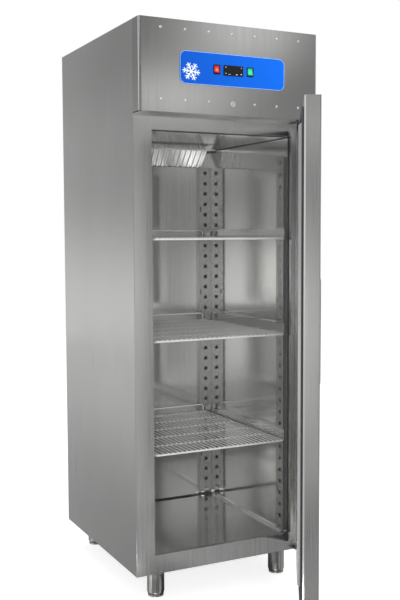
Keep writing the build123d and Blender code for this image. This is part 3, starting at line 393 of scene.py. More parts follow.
@dataclass(frozen=True)
class FilmWithPaintedLight(Finish):
    """A printed film: a saturated colour under a matt coat that hardly shines, with painted light: the colour
    is painted brighter to the right, standing in for light that falls unevenly across it.
    """

    light: str
    left: float = -200.0
    right: float = 210.0
    texture: float = 0.8
    depth: float = 0.01
    shine: float = 0.12

    def pattern(self, tree: Tree, shader: bpy.types.Node) -> None:
        """Adds the painted light, a slow brightening of the colour towards the right, and the film's texture.
        """
        place = add_node(tree, "ShaderNodeTexCoord")
        across = add_node(tree, "ShaderNodeSeparateXYZ", {0: place.outputs["Object"]}).outputs[0]
        limits = {"From Min": self.left * MM, "From Max": self.right * MM}
        share = add_node(tree, "ShaderNodeMapRange", {"Value": across, **limits}).outputs[0]
        # Painted light: the colour runs from its own tone to the lighter one across X.
        tree.links.new(mixed(tree, share, self.colour, self.light), shader.inputs["Base Color"])
        fine = noise_of(tree, (self.texture,) * 3)
        tree.links.new(raise_by(tree, fine, self.depth), shader.inputs["Normal"])
        shader.inputs["Specular IOR Level"].default_value = self.shine


@dataclass(frozen=True)
class LitLens(Finish):
    """A tinted lens with a lamp behind its middle, so it glows there and darkens towards its edges."""

    glow: str
    centre: Point
    reach: float
    power: float

    def pattern(self, tree: Tree, shader: bpy.types.Node) -> None:
        """Adds the lamp's glow."""
        place = add_node(tree, "ShaderNodeTexCoord")
        middle = tuple(value * MM for value in self.centre)
        ends = {0: place.outputs["Object"], 1: middle}
        away = add_node(tree, "ShaderNodeVectorMath", ends, operation="DISTANCE").outputs["Value"]
        near = fading(tree, away, self.reach * MM, 1.0)
        tree.links.new(mixed(tree, near, self.colour, self.glow), shader.inputs["Emission Color"])
        shader.inputs["Emission Strength"].default_value = self.power


# Satin-brushed stainless sheet: soft, upright-streaked mirror of the room.
OUTER_STEEL = StainlessSheet("satin_brushed_stainless", "#C8C8C7", 0.14, "#CFCFCE", 0.26)
# The same with a finer belt: a smoother, slightly darker glow.
HOOD_STEEL = StainlessSheet("fine_brushed_stainless", "#C4C4C3", 0.13, "#C7C7C6", 0.19, grain_width=1.0)
# Bright-rolled stainless: a nearly clear mirror that doubles all that stands before it.
INNER_STEEL = StainlessSheet(
    "bright_rolled_stainless", "#E2E2E1", 0.06, "#E6E6E5", 0.16, wave=300.0, wave_depth=0.15, metallic=0.88
)
# Punched strip: small bright edges on a hazy face.
RACK_STEEL = StainlessSheet(
    "bright_stainless_strip", "#C2C2C1", 0.18, "#C8C8C7", 0.28, grain_width=1.0, wave_depth=0.1, metallic=0.75
)
# Pressed ribs: white highlights with dark valleys between them.
RIB_STEEL = StainlessSheet(
    "ribbed_bright_stainless",
    "#EAEAE9",
    0.08,
    "#EDEDEC",
    0.14,
    grain_width=1.0,
    wave_depth=0.02,
    metallic=0.6,
)
# Polished welded tube: an upright band of light with near-black edges.
TUBE_STEEL = SmallMetal("polished_stainless_tube", "#B8B8B6", 0.12, "#C4C4C2", mark=30.0)
# Hot-dip zinc: dull grey crystals.
ZINC = ZincSheet("galvanised_sheet", "#8E9294", 0.42, "#A9ADAF")
# Foam: a matt, sandy yellow.
FOAM = Moulding("rigid_polyurethane_foam", "#CDB98A", 0.85, "#DAC89C", texture=2.5, depth=0.4)
# Moulded ABS: deep black with a soft sheen.
BLACK_ABS = Moulding("moulded_black_abs", "#0A0B0C", 0.4, "#0F1012")
# Grained ABS: dark and dull.
DARK_ABS = Moulding("moulded_dark_grey_abs", "#2A2C2E", 0.45, "#323437")
# Pale ABS: plain light grey, nearly matt.
PALE_ABS = Moulding("moulded_pale_grey_abs", "#B9BBBA", 0.5, "#C3C5C4")
# Extruded soft PVC: dull mid grey.
SEAL_PVC = Moulding("grey_gasket_pvc", "#55575A", 0.6, "#5F6164", texture=0.9, depth=0.02)
# Rigid PVC: a dark grey strip with a faint shine.
STRIP_PVC = Moulding("dark_grey_strip_pvc", "#3E4042", 0.4, "#46484A", texture=2.0, depth=0.01)
# Silicone: dull dark grey, softer than the housing round it.
KEY_RUBBER = Moulding("silicone_key_rubber", "#18191B", 0.55, "#1F2022", texture=0.6, depth=0.02)
# Back-printed film: deep blue with hardly any shine, with painted light that makes it lighter towards the
# right.
BLUE_FILM = FilmWithPaintedLight("blue_printed_film", "#0A56C4", 0.4, "#0A6CEA")
# Screen inks: flat, opaque colour, and one painted edge highlight.
WHITE_INK = Moulding("white_screen_ink", "#F0F8FF", 0.5, "#F8FCFF", texture=0.8, depth=0.005)
# Painted highlight, not ink: a pale blue line that stands in for light caught along the panel's edge.
PAINTED_EDGE_HIGHLIGHT = Moulding("pale_blue_screen_ink", "#9CC0F0", 0.5, "#A8C8F4", texture=0.8, depth=0.005)
LILAC_INK = Moulding("lilac_screen_ink", "#C0B0FF", 0.5, "#C8BAFF", texture=0.8, depth=0.005)
ORANGE_INK = Moulding("orange_screen_ink", "#FF9A50", 0.5, "#FFA45C", texture=0.8, depth=0.005)
MINT_INK = Moulding("pale_green_screen_ink", "#B4F4CC", 0.5, "#BEF6D4", texture=0.8, depth=0.005)
# Smoked acrylic: black glass with a clear reflection.
SMOKED_WINDOW = Moulding("smoked_display_window", "#0A0A0E", 0.08, "#0D0D12", texture=20.0, depth=0.005)
# Bright zinc plate: white sparkles on small heads.
BRIGHT_ZINC = SmallMetal("bright_zinc_plate", "#ECEEEE", 0.06, "#F2F4F4")
# Stoved enamel: black with soft highlights.
BLACK_ENAMEL = Moulding("black_baked_enamel", "#0E0F10", 0.28, "#15161A", texture=4.0, depth=0.06)
# Rolled fin stock: pale, dull aluminium.
FIN_STOCK = SmallMetal("aluminium_fin_stock", "#B4B6B8", 0.35, "#C4C6C8", mark=20.0)
# Drawn copper: warm brown that brightens along the tube.
COPPER = SmallMetal("drawn_copper_tube", "#A9623C", 0.26, "#C27A4E", mark=25.0)
# Polyamide-coated wire: pale grey with a soft highlight along each wire and dark gaps between them.
SHELF_WIRE = Moulding(
    "polyamide_coated_wire", "#F0F0EF", 0.25, "#F6F6F5", metallic=0.15, texture=3.0, depth=0.01
)
# Silicone bead: a soft, dark line.
BEAD = Moulding("grey_silicone_bead", "#3C3D3E", 0.5, "#444546", texture=2.0, depth=0.02)
# Red lens over a small lamp: deep red with an orange heart.
RED_LENS = LitLens("red_neon_lens", "#A8121C", 0.35, "#FFB060", (-61.0, -431.5, 1854.5), 9.0, 0.75)
# Green lens over a wider lamp: an even green glow.
GREEN_LENS = LitLens("green_neon_lens", "#0C9A62", 0.35, "#40F0B0", (70.3, -431.5, 1855.0), 16.0, 0.7)


@cache
def material_of(finish: Finish) -> bpy.types.Material:
    """The material of a finish, built the first time that it is asked for."""
    return finish.material()


# Meshes


def place_mesh(name: str, mesh: bpy.types.Mesh) -> bpy.types.Object:
    """Puts a mesh into the scene as an object at the origin.

    Args:
        name: The piece's name.
        mesh: Its mesh, already in place.

    Returns:
        The object.
    """
    piece = bpy.data.objects.new(name, mesh)
    bpy.context.scene.collection.objects.link(piece)
    return piece


def plain_mesh(name: str, build: bmesh.types.BMesh) -> bpy.types.Mesh:
    """Turns a bmesh into a mesh as it is.

    Args:
        name: The mesh's name.
        build: The bmesh, which is freed.

    Returns:
        The mesh.
    """
    mesh = bpy.data.meshes.new(name)
    build.to_mesh(mesh)
    build.free()
    return mesh


def mesh_of(name: str, build: bmesh.types.BMesh) -> bpy.types.Mesh:
    """Turns a bmesh into a mesh with its points joined and its faces pointing outwards.

    Args:
        name: The mesh's name.
        build: The bmesh, which is freed.

    Returns:
        The mesh.
    """
    bmesh.ops.remove_doubles(build, verts=build.verts, dist=SAME_POINT)
    bmesh.ops.recalc_face_normals(build, faces=build.faces)
    return plain_mesh(name, build)


def band(build: bmesh.types.BMesh, first: Corners, second: Corners) -> None:
    """Joins two rings of corners with a band of faces."""
    count = len(first)
    for i in range(count):
        j = (i + 1) % count
        build.faces.new((first[i], first[j], second[j], second[i]))


def closed_bands(build: bmesh.types.BMesh, rings: Sequence[Corners]) -> None:
    """Joins rings of corners in order, and the last one to the first."""
    for i, ring in enumerate(rings):
        band(build, ring, rings[(i + 1) % len(rings)])


def slab(build: bmesh.types.BMesh, near: Corners, far: Corners) -> None:
    """Closes the space between two equal outlines."""
    build.faces.new(near)
    build.faces.new(list(reversed(far)))
    band(build, far, near)


def settle(piece: bpy.types.Object) -> bpy.types.Object:
    """Turns what a piece's modifiers make into its own plain mesh, and removes them."""
    piece.update_tag()
    seen = piece.evaluated_get(bpy.context.evaluated_depsgraph_get())
    result = bpy.data.meshes.new_from_object(seen)
    piece.modifiers.clear()
    piece.data = result
    return piece


def smooth(piece: bpy.types.Object, angle: float = ROUND_ANGLE) -> bpy.types.Object:
    """Shades a piece smooth, except over edges sharper than an angle in degrees."""
    piece.data.shade_smooth()
    piece.data.set_sharp_from_angle(angle=math.radians(angle))
    return piece


def lathe(name: str, profile: Profile, place: Point, sides: int = 64) -> bpy.types.Object:
    """Turns a closed outline about an upright axis.

    Args:
        name: The piece's name.
        profile: Radius and height of each corner of the outline; it starts and ends on the axis or is a ring.
        place: The foot of the axis.
        sides: How many steps make the turn.

    Returns:
        The piece.
    """
    build = bmesh.new()
    rings = []
    for radius, height in profile:
        ring = []
        for i in range(sides):
            angle = 2 * math.pi * i / sides
            at = (place[0] + radius * math.cos(angle), place[1] + radius * math.sin(angle), place[2] + height)
            ring.append(build.verts.new(Vector(at) * MM))
        rings.append(ring)
    closed_bands(build, rings)
    bmesh.ops.remove_doubles(build, verts=build.verts, dist=SAME_POINT)
    bmesh.ops.dissolve_degenerate(build, edges=build.edges, dist=SAME_POINT / 10)
    return smooth(place_mesh(name, mesh_of(name, build)))


def front_prism(outline: Profile, y0: float, y1: float) -> bmesh.types.BMesh:
    """A flat shape that faces the front, given by X and Z, with a thickness.

    Args:
        outline: The corners in order.
        y0: Its front.
        y1: Its back.

    Returns:
        The shape as a bmesh.
    """
    build = bmesh.new()
    front = [build.verts.new((x * MM, y0 * MM, z * MM)) for x, z in outline]
    back = [build.verts.new((x * MM, y1 * MM, z * MM)) for x, z in outline]
    slab(build, front, back)
    return build


def rounded_box_outline(
    x: float, z: float, width: float, height: float, radius: float, steps: int = 8
) -> list[tuple[float, float]]:
    """The outline of a rectangle with rounded corners.

    Args:
        x: Its centre.
        z: Its centre.
        width: Its whole width.
        height: Its whole height.
        radius: The corner's radius.
        steps: How many chords each corner has.

    Returns:
        The corners in order.
    """
    points = []
    for quarter, (sx, sz) in enumerate(((1, 1), (-1, 1), (-1, -1), (1, -1))):
        for i in range(steps + 1):
            angle = math.pi / 2 * (quarter + i / steps)
            points.append(
                (
                    x + sx * (width / 2 - radius) + radius * math.cos(angle),
                    z + sz * (height / 2 - radius) + radius * math.sin(angle),
                )
            )
    return points


def box_mesh(low: Point, high: Point) -> bpy.types.Mesh:
    """A box between two corners."""
    build = bmesh.new()
    middle = (Vector(low) + Vector(high)) / 2
    size = Matrix.Diagonal((*(Vector(high) - Vector(low)), 1.0))
    bmesh.ops.create_cube(build, size=1.0, matrix=Matrix.Scale(MM, 4) @ Matrix.Translation(middle) @ size)
    return mesh_of("box", build)


def eased(node: bpy.types.Object, width: float) -> bpy.types.Object:
    """Copies a CAD piece as one joined mesh and rounds its edges a little, as folding or moulding does.

    Args:
        node: The CAD piece, whose own mesh is loose triangles and stays as it is.
        width: How wide each rounded edge is.

    Returns:
        The copy, whose flat faces shade flat and whose bends shade round.
    """
    build = bmesh.new()
    build.from_mesh(node.data)
    bmesh.ops.remove_doubles(build, verts=build.verts, dist=SAME_POINT)
    bmesh.ops.dissolve_limit(
        build, angle_limit=math.radians(FLAT_ANGLE), verts=build.verts, edges=build.edges
    )
    piece = place_mesh(f"{node.name}_eased", mesh_of(node.name, build))
    bevel = piece.modifiers.new("ease", "BEVEL")
    bevel.width, bevel.segments = width * MM, 2
    bevel.limit_method, bevel.angle_limit = "ANGLE", math.radians(ROUND_ANGLE)
    smooth(settle(piece), EASED_ANGLE)
    piece.modifiers.new("flat_faces", "WEIGHTED_NORMAL").keep_sharp = True
    return settle(piece)


def merge(name: str, pieces: Iterable[bpy.types.Object]) -> bpy.types.Object:
    """Joins pieces into one object.

    Args:
        name: The new object's name.
        pieces: The pieces, which are removed.

    Returns:
        The joined piece.
    """
    build = bmesh.new()
    materials = []
    for piece in pieces:
        first = len(build.faces)
        build.from_mesh(piece.data)
        build.faces.ensure_lookup_table()
        for face in build.faces[first:]:
            used = piece.data.materials[face.material_index] if piece.data.materials else None
            if used not in materials:
                materials.append(used)
            face.material_index = materials.index(used)
        bpy.data.objects.remove(piece)
    mesh = plain_mesh(name, build)
    for used in materials:
        mesh.materials.append(used)
    return place_mesh(name, mesh)


# Geometry trees

# A fine wire's section, a rod's section and each of its bends have these numbers of steps.
WIRE_SIDES, ROD_SIDES, BEND_STEPS = 10, 14, 8
# The steps across one rib, and how near to its middle line, as a cosine, a rib's flank begins.
RIB_STEPS, RIB_FLANK = 20.0, 0.55


def new_tree(name: str, sockets: dict[str, str]) -> tuple[Tree, bpy.types.Node]:
    """Starts a geometry tree with named inputs.

    Args:
        name: The tree's name.
        sockets: The kind of each input by its name, such as "Float".

    Returns:
        The tree and its input node.
    """
    tree = bpy.data.node_groups.new(name, "GeometryNodeTree")
    tree.interface.new_socket("Geometry", in_out="INPUT", socket_type="NodeSocketGeometry")
    for label, kind in sockets.items():
        tree.interface.new_socket(label, in_out="INPUT", socket_type=f"NodeSocket{kind}")
    tree.interface.new_socket("Geometry", in_out="OUTPUT", socket_type="NodeSocketGeometry")
    return tree, add_node(tree, "NodeGroupInput")


def end_tree(tree: Tree, shape: Socket, finish: Socket) -> None:
    """Ends a geometry tree: realizes what it instanced and sets the material.

    Args:
        tree: The tree.
        shape: The geometry.
        finish: The material input.
    """
    real = add_node(tree, "GeometryNodeRealizeInstances", {"Geometry": shape})
    coated = add_node(tree, "GeometryNodeSetMaterial", {"Geometry": real.outputs[0], "Material": finish})
    add_node(tree, "NodeGroupOutput", {0: coated.outputs[0]})


def round_wire(
    tree: Tree, line: Socket, diameter: Socket, sides: int
) -> Socket:
    """Gives a line a round section.

    Args:
        tree: The tree.
        line: The curve.
        diameter: The section's diameter.
        sides: How many sides the section has.

    Returns:
        The wire's geometry.
    """
    radius = reckon(tree, "MULTIPLY", diameter, 0.5)
    circle = add_node(tree, "GeometryNodeCurvePrimitiveCircle", {"Resolution": sides, "Radius": radius})
    inputs = {"Curve": line, "Profile Curve": circle.outputs[0], "Fill Caps": True}
    return add_node(tree, "GeometryNodeCurveToMesh", inputs).outputs[0]


def repeat(tree: Tree, given: bpy.types.Node, part: Socket) -> None:
    """Ends a tree with a row of copies of one part, by its count, first place and step.

    Args:
        tree: The tree.
        given: Its input node.
        part: The part's geometry.
    """
    line = {"Count": given.outputs["Count"], "Start Location": given.outputs["First"]}
    line["Offset"] = given.outputs["Step"]
    places = add_node(tree, "GeometryNodeMeshLine", line, mode="OFFSET")
    inputs = {"Points": places.outputs[0], "Instance": part}
    row = add_node(tree, "GeometryNodeInstanceOnPoints", inputs)
    end_tree(tree, row.outputs[0], given.outputs["Finish"])


@cache
def row_of_wires() -> Tree:
    """A tree that lays straight wires side by side."""
    row = {"Count": "Int", "First": "Vector", "Step": "Vector"}
    wire = {"Wire": "Vector", "Diameter": "Float", "Finish": "Material"}
    tree, given = new_tree("row_of_wires", {**row, **wire})
    line = add_node(tree, "GeometryNodeCurvePrimitiveLine", {"End": given.outputs["Wire"]})
    repeat(tree, given, round_wire(tree, line.outputs[0], given.outputs["Diameter"], WIRE_SIDES))
    return tree


@cache
def row_of_plates() -> Tree:
    """A tree that stands thin plates side by side."""
    row = {"Count": "Int", "First": "Vector", "Step": "Vector"}
    tree, given = new_tree("row_of_plates", {**row, "Plate": "Vector", "Finish": "Material"})
    repeat(tree, given, add_node(tree, "GeometryNodeMeshCube", {"Size": given.outputs["Plate"]}).outputs[0])
    return tree


@cache
def bent_wire() -> Tree:
    """A tree that gives the piece's own line rounded corners and a round section."""
    tree, given = new_tree("bent_wire", {"Corner": "Float", "Diameter": "Float", "Finish": "Material"})
    line = add_node(tree, "GeometryNodeMeshToCurve", {0: given.outputs["Geometry"]}).outputs[0]
    corner = {"Curve": line, "Radius": given.outputs["Corner"], "Count": BEND_STEPS, "Limit Radius": True}
    bent = add_node(tree, "GeometryNodeFilletCurve", corner, mode="POLY")
    wire = round_wire(tree, bent.outputs[0], given.outputs["Diameter"], ROD_SIDES)
    end_tree(tree, wire, given.outputs["Finish"])
    return tree


@cache
def copies_at_points() -> Tree:
    """A tree that sets a copy of one small part at each of the piece's own points."""
    tree, given = new_tree("copies_at_points", {"Part": "Object", "Finish": "Material"})
    part = add_node(tree, "GeometryNodeObjectInfo", {"Object": given.outputs["Part"]})
    inputs = {"Points": given.outputs["Geometry"], "Instance": part.outputs["Geometry"]}
    copies = add_node(tree, "GeometryNodeInstanceOnPoints", inputs)
    end_tree(tree, copies.outputs[0], given.outputs["Finish"])
    return tree


@cache
def ribbed_sheet() -> Tree:
    """A tree that presses upright ribs into a flat sheet in its own plane: X across, Y along the ribs."""
    sizes = dict.fromkeys(("Width", "Length", "Pitch", "Rise"), "Float")
    tree, given = new_tree("ribbed_sheet", {**sizes, "Finish": "Material"})
    ribs = reckon(tree, "DIVIDE", given.outputs["Width"], given.outputs["Pitch"])
    grid = {"Size X": given.outputs["Width"], "Size Y": given.outputs["Length"], "Vertices Y": 2}
    grid["Vertices X"] = reckon(tree, "MULTIPLY_ADD", ribs, RIB_STEPS, 1.0)
    sheet = add_node(tree, "GeometryNodeMeshGrid", grid)
    spot = add_node(tree, "GeometryNodeInputPosition")
    across = add_node(tree, "ShaderNodeSeparateXYZ", {0: spot.outputs[0]}).outputs[0]
    turns = reckon(tree, "DIVIDE", across, given.outputs["Pitch"])
    swing = reckon(tree, "COSINE", reckon(tree, "MULTIPLY", turns, 2 * math.pi))
    flanks = {"Value": swing, "From Min": -RIB_FLANK, "From Max": RIB_FLANK}
    share = add_node(tree, "ShaderNodeMapRange", flanks, interpolation_type="SMOOTHSTEP").outputs[0]
    lift = reckon(tree, "MULTIPLY", share, given.outputs["Rise"])
    offset = add_node(tree, "ShaderNodeCombineXYZ", {2: lift})
    inputs = {"Geometry": sheet.outputs[0], "Offset": offset.outputs[0]}
    pressed = add_node(tree, "GeometryNodeSetPosition", inputs)
    end_tree(tree, pressed.outputs[0], given.outputs["Finish"])
    return tree


def grow(
    name: str,
    tree: Tree,
    sizes: dict[str, object],
    points: Sequence[Point] = (),
    closed: bool | None = None,
) -> bpy.types.Object:
    """Runs a geometry tree once and keeps its result as a plain mesh.

    Args:
        name: The piece's name.
        tree: The geometry tree.
        sizes: A value for each of the tree's inputs, with lengths in metres.
        points: The piece's own points.
        closed: Whether the points form a ring; None leaves them unjoined.

    Returns:
        The piece, with no modifier.
    """
    edges = [] if closed is None else [(i, i + 1) for i in range(len(points) - 1)]
    if closed:
        edges.append((len(points) - 1, 0))
    start = bpy.data.meshes.new(name)
    start.from_pydata([tuple(value * MM for value in point) for point in points], edges, [])
    piece = place_mesh(name, start)
    modifier = piece.modifiers.new(name, "NODES")
    modifier.node_group = tree
    sockets = {item.name: item.identifier for item in tree.interface.items_tree if item.in_out == "INPUT"}
    for label, value in sizes.items():
        modifier[sockets[label]] = value
    return settle(piece)


# Hanging pieces on the frame


def attach(piece: bpy.types.Object, body: str, slot: str, *stands_for: str) -> bpy.types.Object:
    """Makes a piece ride on a body and take over from CAD nodes.

    Args:
        piece: The finished piece.
        body: The body that carries it.
        slot: Not used.
        stands_for: The CAD nodes that it replaces.

    Returns:
        The piece.
    """
    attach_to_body(piece, body)
    if stands_for:
        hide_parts(*stands_for)
    log.info("piece %s rides on %s", piece.name, body)
    return piece


def coat(piece: bpy.types.Object, finish: Finish) -> bpy.types.Object:
    """Gives a whole piece one finish."""
    piece.data.materials.clear()
    piece.data.materials.append(material_of(finish))
    return piece


@dataclass(frozen=True)
class Dressing:
    """How a group of CAD pieces is dressed: finish, record slot and the width of the eased edges."""

    finish: Finish
    slot: str
    ease: float
    names: tuple[str, ...]


@dataclass
class Shell:
    """The CAD pieces that keep their shape: sheets, mouldings and hinge hardware."""

    nodes: dict[str, bpy.types.Object]
    dressings: tuple[Dressing, ...] = (
        Dressing(OUTER_STEEL, "outer_steel", 0.9, ("side_panel_left", "side_panel_right")),
        Dressing(OUTER_STEEL, "outer_steel", 0.45, ("front_frame", "door_skin")),
        Dressing(HOOD_STEEL, "outer_steel", 0.4, ("hood_panel",)),
        Dressing(INNER_STEEL, "polished_steel", 0.4, ("inner_liner", "duct_panel", "return_grille")),
        Dressing(INNER_STEEL, "polished_steel", 0.45, ("door_inner_panel",)),
        Dressing(INNER_STEEL, "polished_steel", 0.4, ("upper_runners", "middle_runners", "lower_runners")),
        Dressing(RACK_STEEL, "polished_steel", 0.35, ("front_uprights", "rear_uprights")),
        Dressing(ZINC, "galvanised", 0.4, ("rear_panel", "rear_grille", "base_pan", "compartment_deck")),
        Dressing(ZINC, "galvanised", 0.4, ("unit_base", "condenser_fan_shroud", "evaporator_fan_shroud")),
        Dressing(ZINC, "galvanised", 0.6, ("top_hinge_plate", "bottom_hinge_plate")),
        Dressing(FOAM, "foam", 0.0, ("cabinet_insulation", "door_insulation")),
        Dressing(BLACK_ABS, "black_plastic", 0.4, ("controller_body",)),
        Dressing(BLACK_ABS, "black_plastic", 0.4, ("red_switch_body", "green_switch_body")),
        Dressing(BLACK_ABS, "black_plastic", 0.8, ("door_grip",)),
        Dressing(DARK_ABS, "black_plastic", 0.0, ("condenser_fan", "evaporator_fan")),
        Dressing(DARK_ABS, "grey_plastic", 0.4, ("cable_gland",)),
        Dressing(PALE_ABS, "grey_plastic", 2.5, ("electrical_box", "evaporator_housing")),
        Dressing(PALE_ABS, "grey_plastic", 0.3, ("hinge_bushes",)),
        Dressing(SEAL_PVC, "grey_gasket", 0.7, ("door_gasket",)),
        Dressing(KEY_RUBBER, "key_plastic", 0.3, ("key_upper_left", "key_upper_right")),
        Dressing(KEY_RUBBER, "key_plastic", 0.3, ("key_lower_left", "key_lower_right")),
        Dressing(BRIGHT_ZINC, "bright_steel", 0.3, ("lock_housing", "lock_cylinder", "hinge_pins")),
        Dressing(BLACK_ENAMEL, "black_paint", 0.0, ("compressor",)),
        Dressing(COPPER, "copper_tube", 0.0, ("refrigerant_pipes",)),
        Dressing(BLUE_FILM, "blue_overlay", 0.25, ("control_overlay",)),
    )

    def dress(self) -> None:
        """Coats every CAD piece, with its edges eased where it has any that show."""
        for dressing in self.dressings:
            for name in dressing.names:
                node = self.nodes[name]
                if dressing.ease:
                    body = body_of(node)[0]
                    attach(coat(eased(node, dressing.ease), dressing.finish), body, dressing.slot, name)
                else:
                    coat(node, dressing.finish)
                    log.info("CAD piece %s has the finish %s", name, dressing.finish.name)


@dataclass
class FinnedCoil:
    """A coil: aluminium fins between two end plates, threaded on copper hairpins whose bends show at one end.

    Real fins are 0.15 mm thick and 2.5 mm apart, too fine to show, so they are drawn 0.5 mm thick and 4 mm
    apart.
    """

    node: str
    low: Point
    high: Point
    rows: int
    fin: float = 0.5
    pitch: float = 4.0
    plate: float = 1.5
    lip: float = 6.0
    tube: float = 9.6
    clearance: float = 1.0

    def fins(self) -> bpy.types.Object:
        """Stands the fins between the end plates."""
        (x0, y0, z0), (x1, y1, z1) = self.low, self.high
        count = int((x1 - x0) / self.pitch) - 1
        step = (x1 - x0) / (count + 1)
        sizes = {
            "Count": count,
            "First": Vector((x0 + step, (y0 + y1) / 2, (z0 + z1) / 2)) * MM,
            "Step": Vector((step, 0, 0)) * MM,
            "Plate": Vector((self.fin, y1 - y0, z1 - z0 - 2 * self.clearance)) * MM,
            "Finish": material_of(FIN_STOCK),
        }
        return grow("fins", row_of_plates(), sizes)

    def hairpin(self, row: int) -> bpy.types.Object:
        """Bends one hairpin.

        Args:
            row: Its place, counted from the bottom.

        Returns:
            The hairpin.
        """
        (x0, y0, z0), (x1, y1, z1) = self.low, self.high
        half = (z1 - z0) / (4 * self.rows)
        y, z = (y0 + y1) / 2, z0 + half * (4 * row + 2)
        start, turn = x0 - self.plate, x1 + self.plate + half
        points = [(start, y, z - half), (turn, y, z - half), (turn, y, z + half), (start, y, z + half)]
        sizes = {"Corner": half * MM, "Diameter": self.tube * MM, "Finish": material_of(COPPER)}
        return grow("hairpin", bent_wire(), sizes, points, False)

    def build(self) -> None:
        """Makes the coil and fixes it in the cabinet."""
        (x0, y0, z0), (x1, y1, z1) = self.low, self.high
        parts = [self.fins(), *(self.hairpin(row) for row in range(self.rows))]
        for x in (x0 - self.plate, x1):
            mesh = box_mesh((x, y0 - self.lip, z0), (x + self.plate, y1 + self.lip, z1))
            parts.append(coat(place_mesh("plate", mesh), ZINC))
        attach(smooth(merge(f"finned_{self.node}", parts)), "cabinet", "aluminium_fins", self.node)


@dataclass
class Legs:
    """The four tube legs and their feet."""

    half_x: float = 252.0
    half_y: float = 311.5
    radius: float = 31.0
    wall: float = 1.5
    tip_radius: float = 27.0
    plate_radius: float = 45.0
    bottom: float = 7.0
    taper: float = 8.5
    tip: Profile = ((-0.8, 0.0), (0.0, 0.8), (1.6, 3.2))
    shoulder: Profile = ((-0.9, -2.2), (-0.2, -0.6), (0.0, 1.0))
    top: float = 99.0
    plate: float = 3.0
    nut_radius: float = 9.0
    nut_top: float = 21.0
    foot_radius: float = 28.5
    foot_height: float = 6.5
    pad_foot: Profile = ((-1.8, 0.0), (-0.6, 0.4), (0.0, 1.5))
    pad_top: Profile = ((0.0, -2.5), (-0.7, -0.8), (-2.2, 0.0))
    stem_radius: float = 8.95
    stem_top: float = 64.0
    stem_chamfer: float = 2.0

    def leg_profile(self) -> list[tuple[float, float]]:
        """The outline of a leg, with its drawn-in tip rounded over."""
        flange = self.top - self.plate
        inside = self.radius - self.wall
        return [
            (self.nut_radius, self.bottom),
            *((self.tip_radius + r, self.bottom + z) for r, z in self.tip),
            *((self.radius + r, self.bottom + self.taper + z) for r, z in self.shoulder),
            (self.radius, flange),
            (self.plate_radius, flange),
            (self.plate_radius, self.top),
            (0.0, self.top),
            (0.0, flange),
            (inside, flange),
            (inside, self.nut_top),
            (self.nut_radius, self.nut_top),
        ]

    def foot_profile(self) -> list[tuple[float, float]]:
        """The outline of a foot with its rounded pad and its stem."""
        return [
            (0.0, 0.0),
            *((self.foot_radius + r, z) for r, z in self.pad_foot),
            *((self.foot_radius + r, self.foot_height + z) for r, z in self.pad_top),
            (self.stem_radius, self.foot_height),
            (self.stem_radius, self.stem_top - self.stem_chamfer),
            (self.stem_radius - self.stem_chamfer, self.stem_top),
            (0.0, self.stem_top),
        ]

    def build(self) -> None:
        """Makes the legs as one piece and each foot on its own body."""
        tubes = []
        for end, side in product(End, Side):
            place = (side.value * self.half_x, end.value * self.half_y, 0)
            corner = f"{end.name}_{side.name}".lower()
            tubes.append(lathe(f"tube_{corner}", self.leg_profile(), place))
            node = f"foot_{corner}"
            foot = coat(lathe(f"{node}_pad", self.foot_profile(), place), TUBE_STEEL)
            attach(foot, node, "bright_steel", node)
        legs = coat(merge("polished_legs", tubes), TUBE_STEEL)
        attach(smooth(legs), "cabinet", "polished_steel", "leg_tubes")


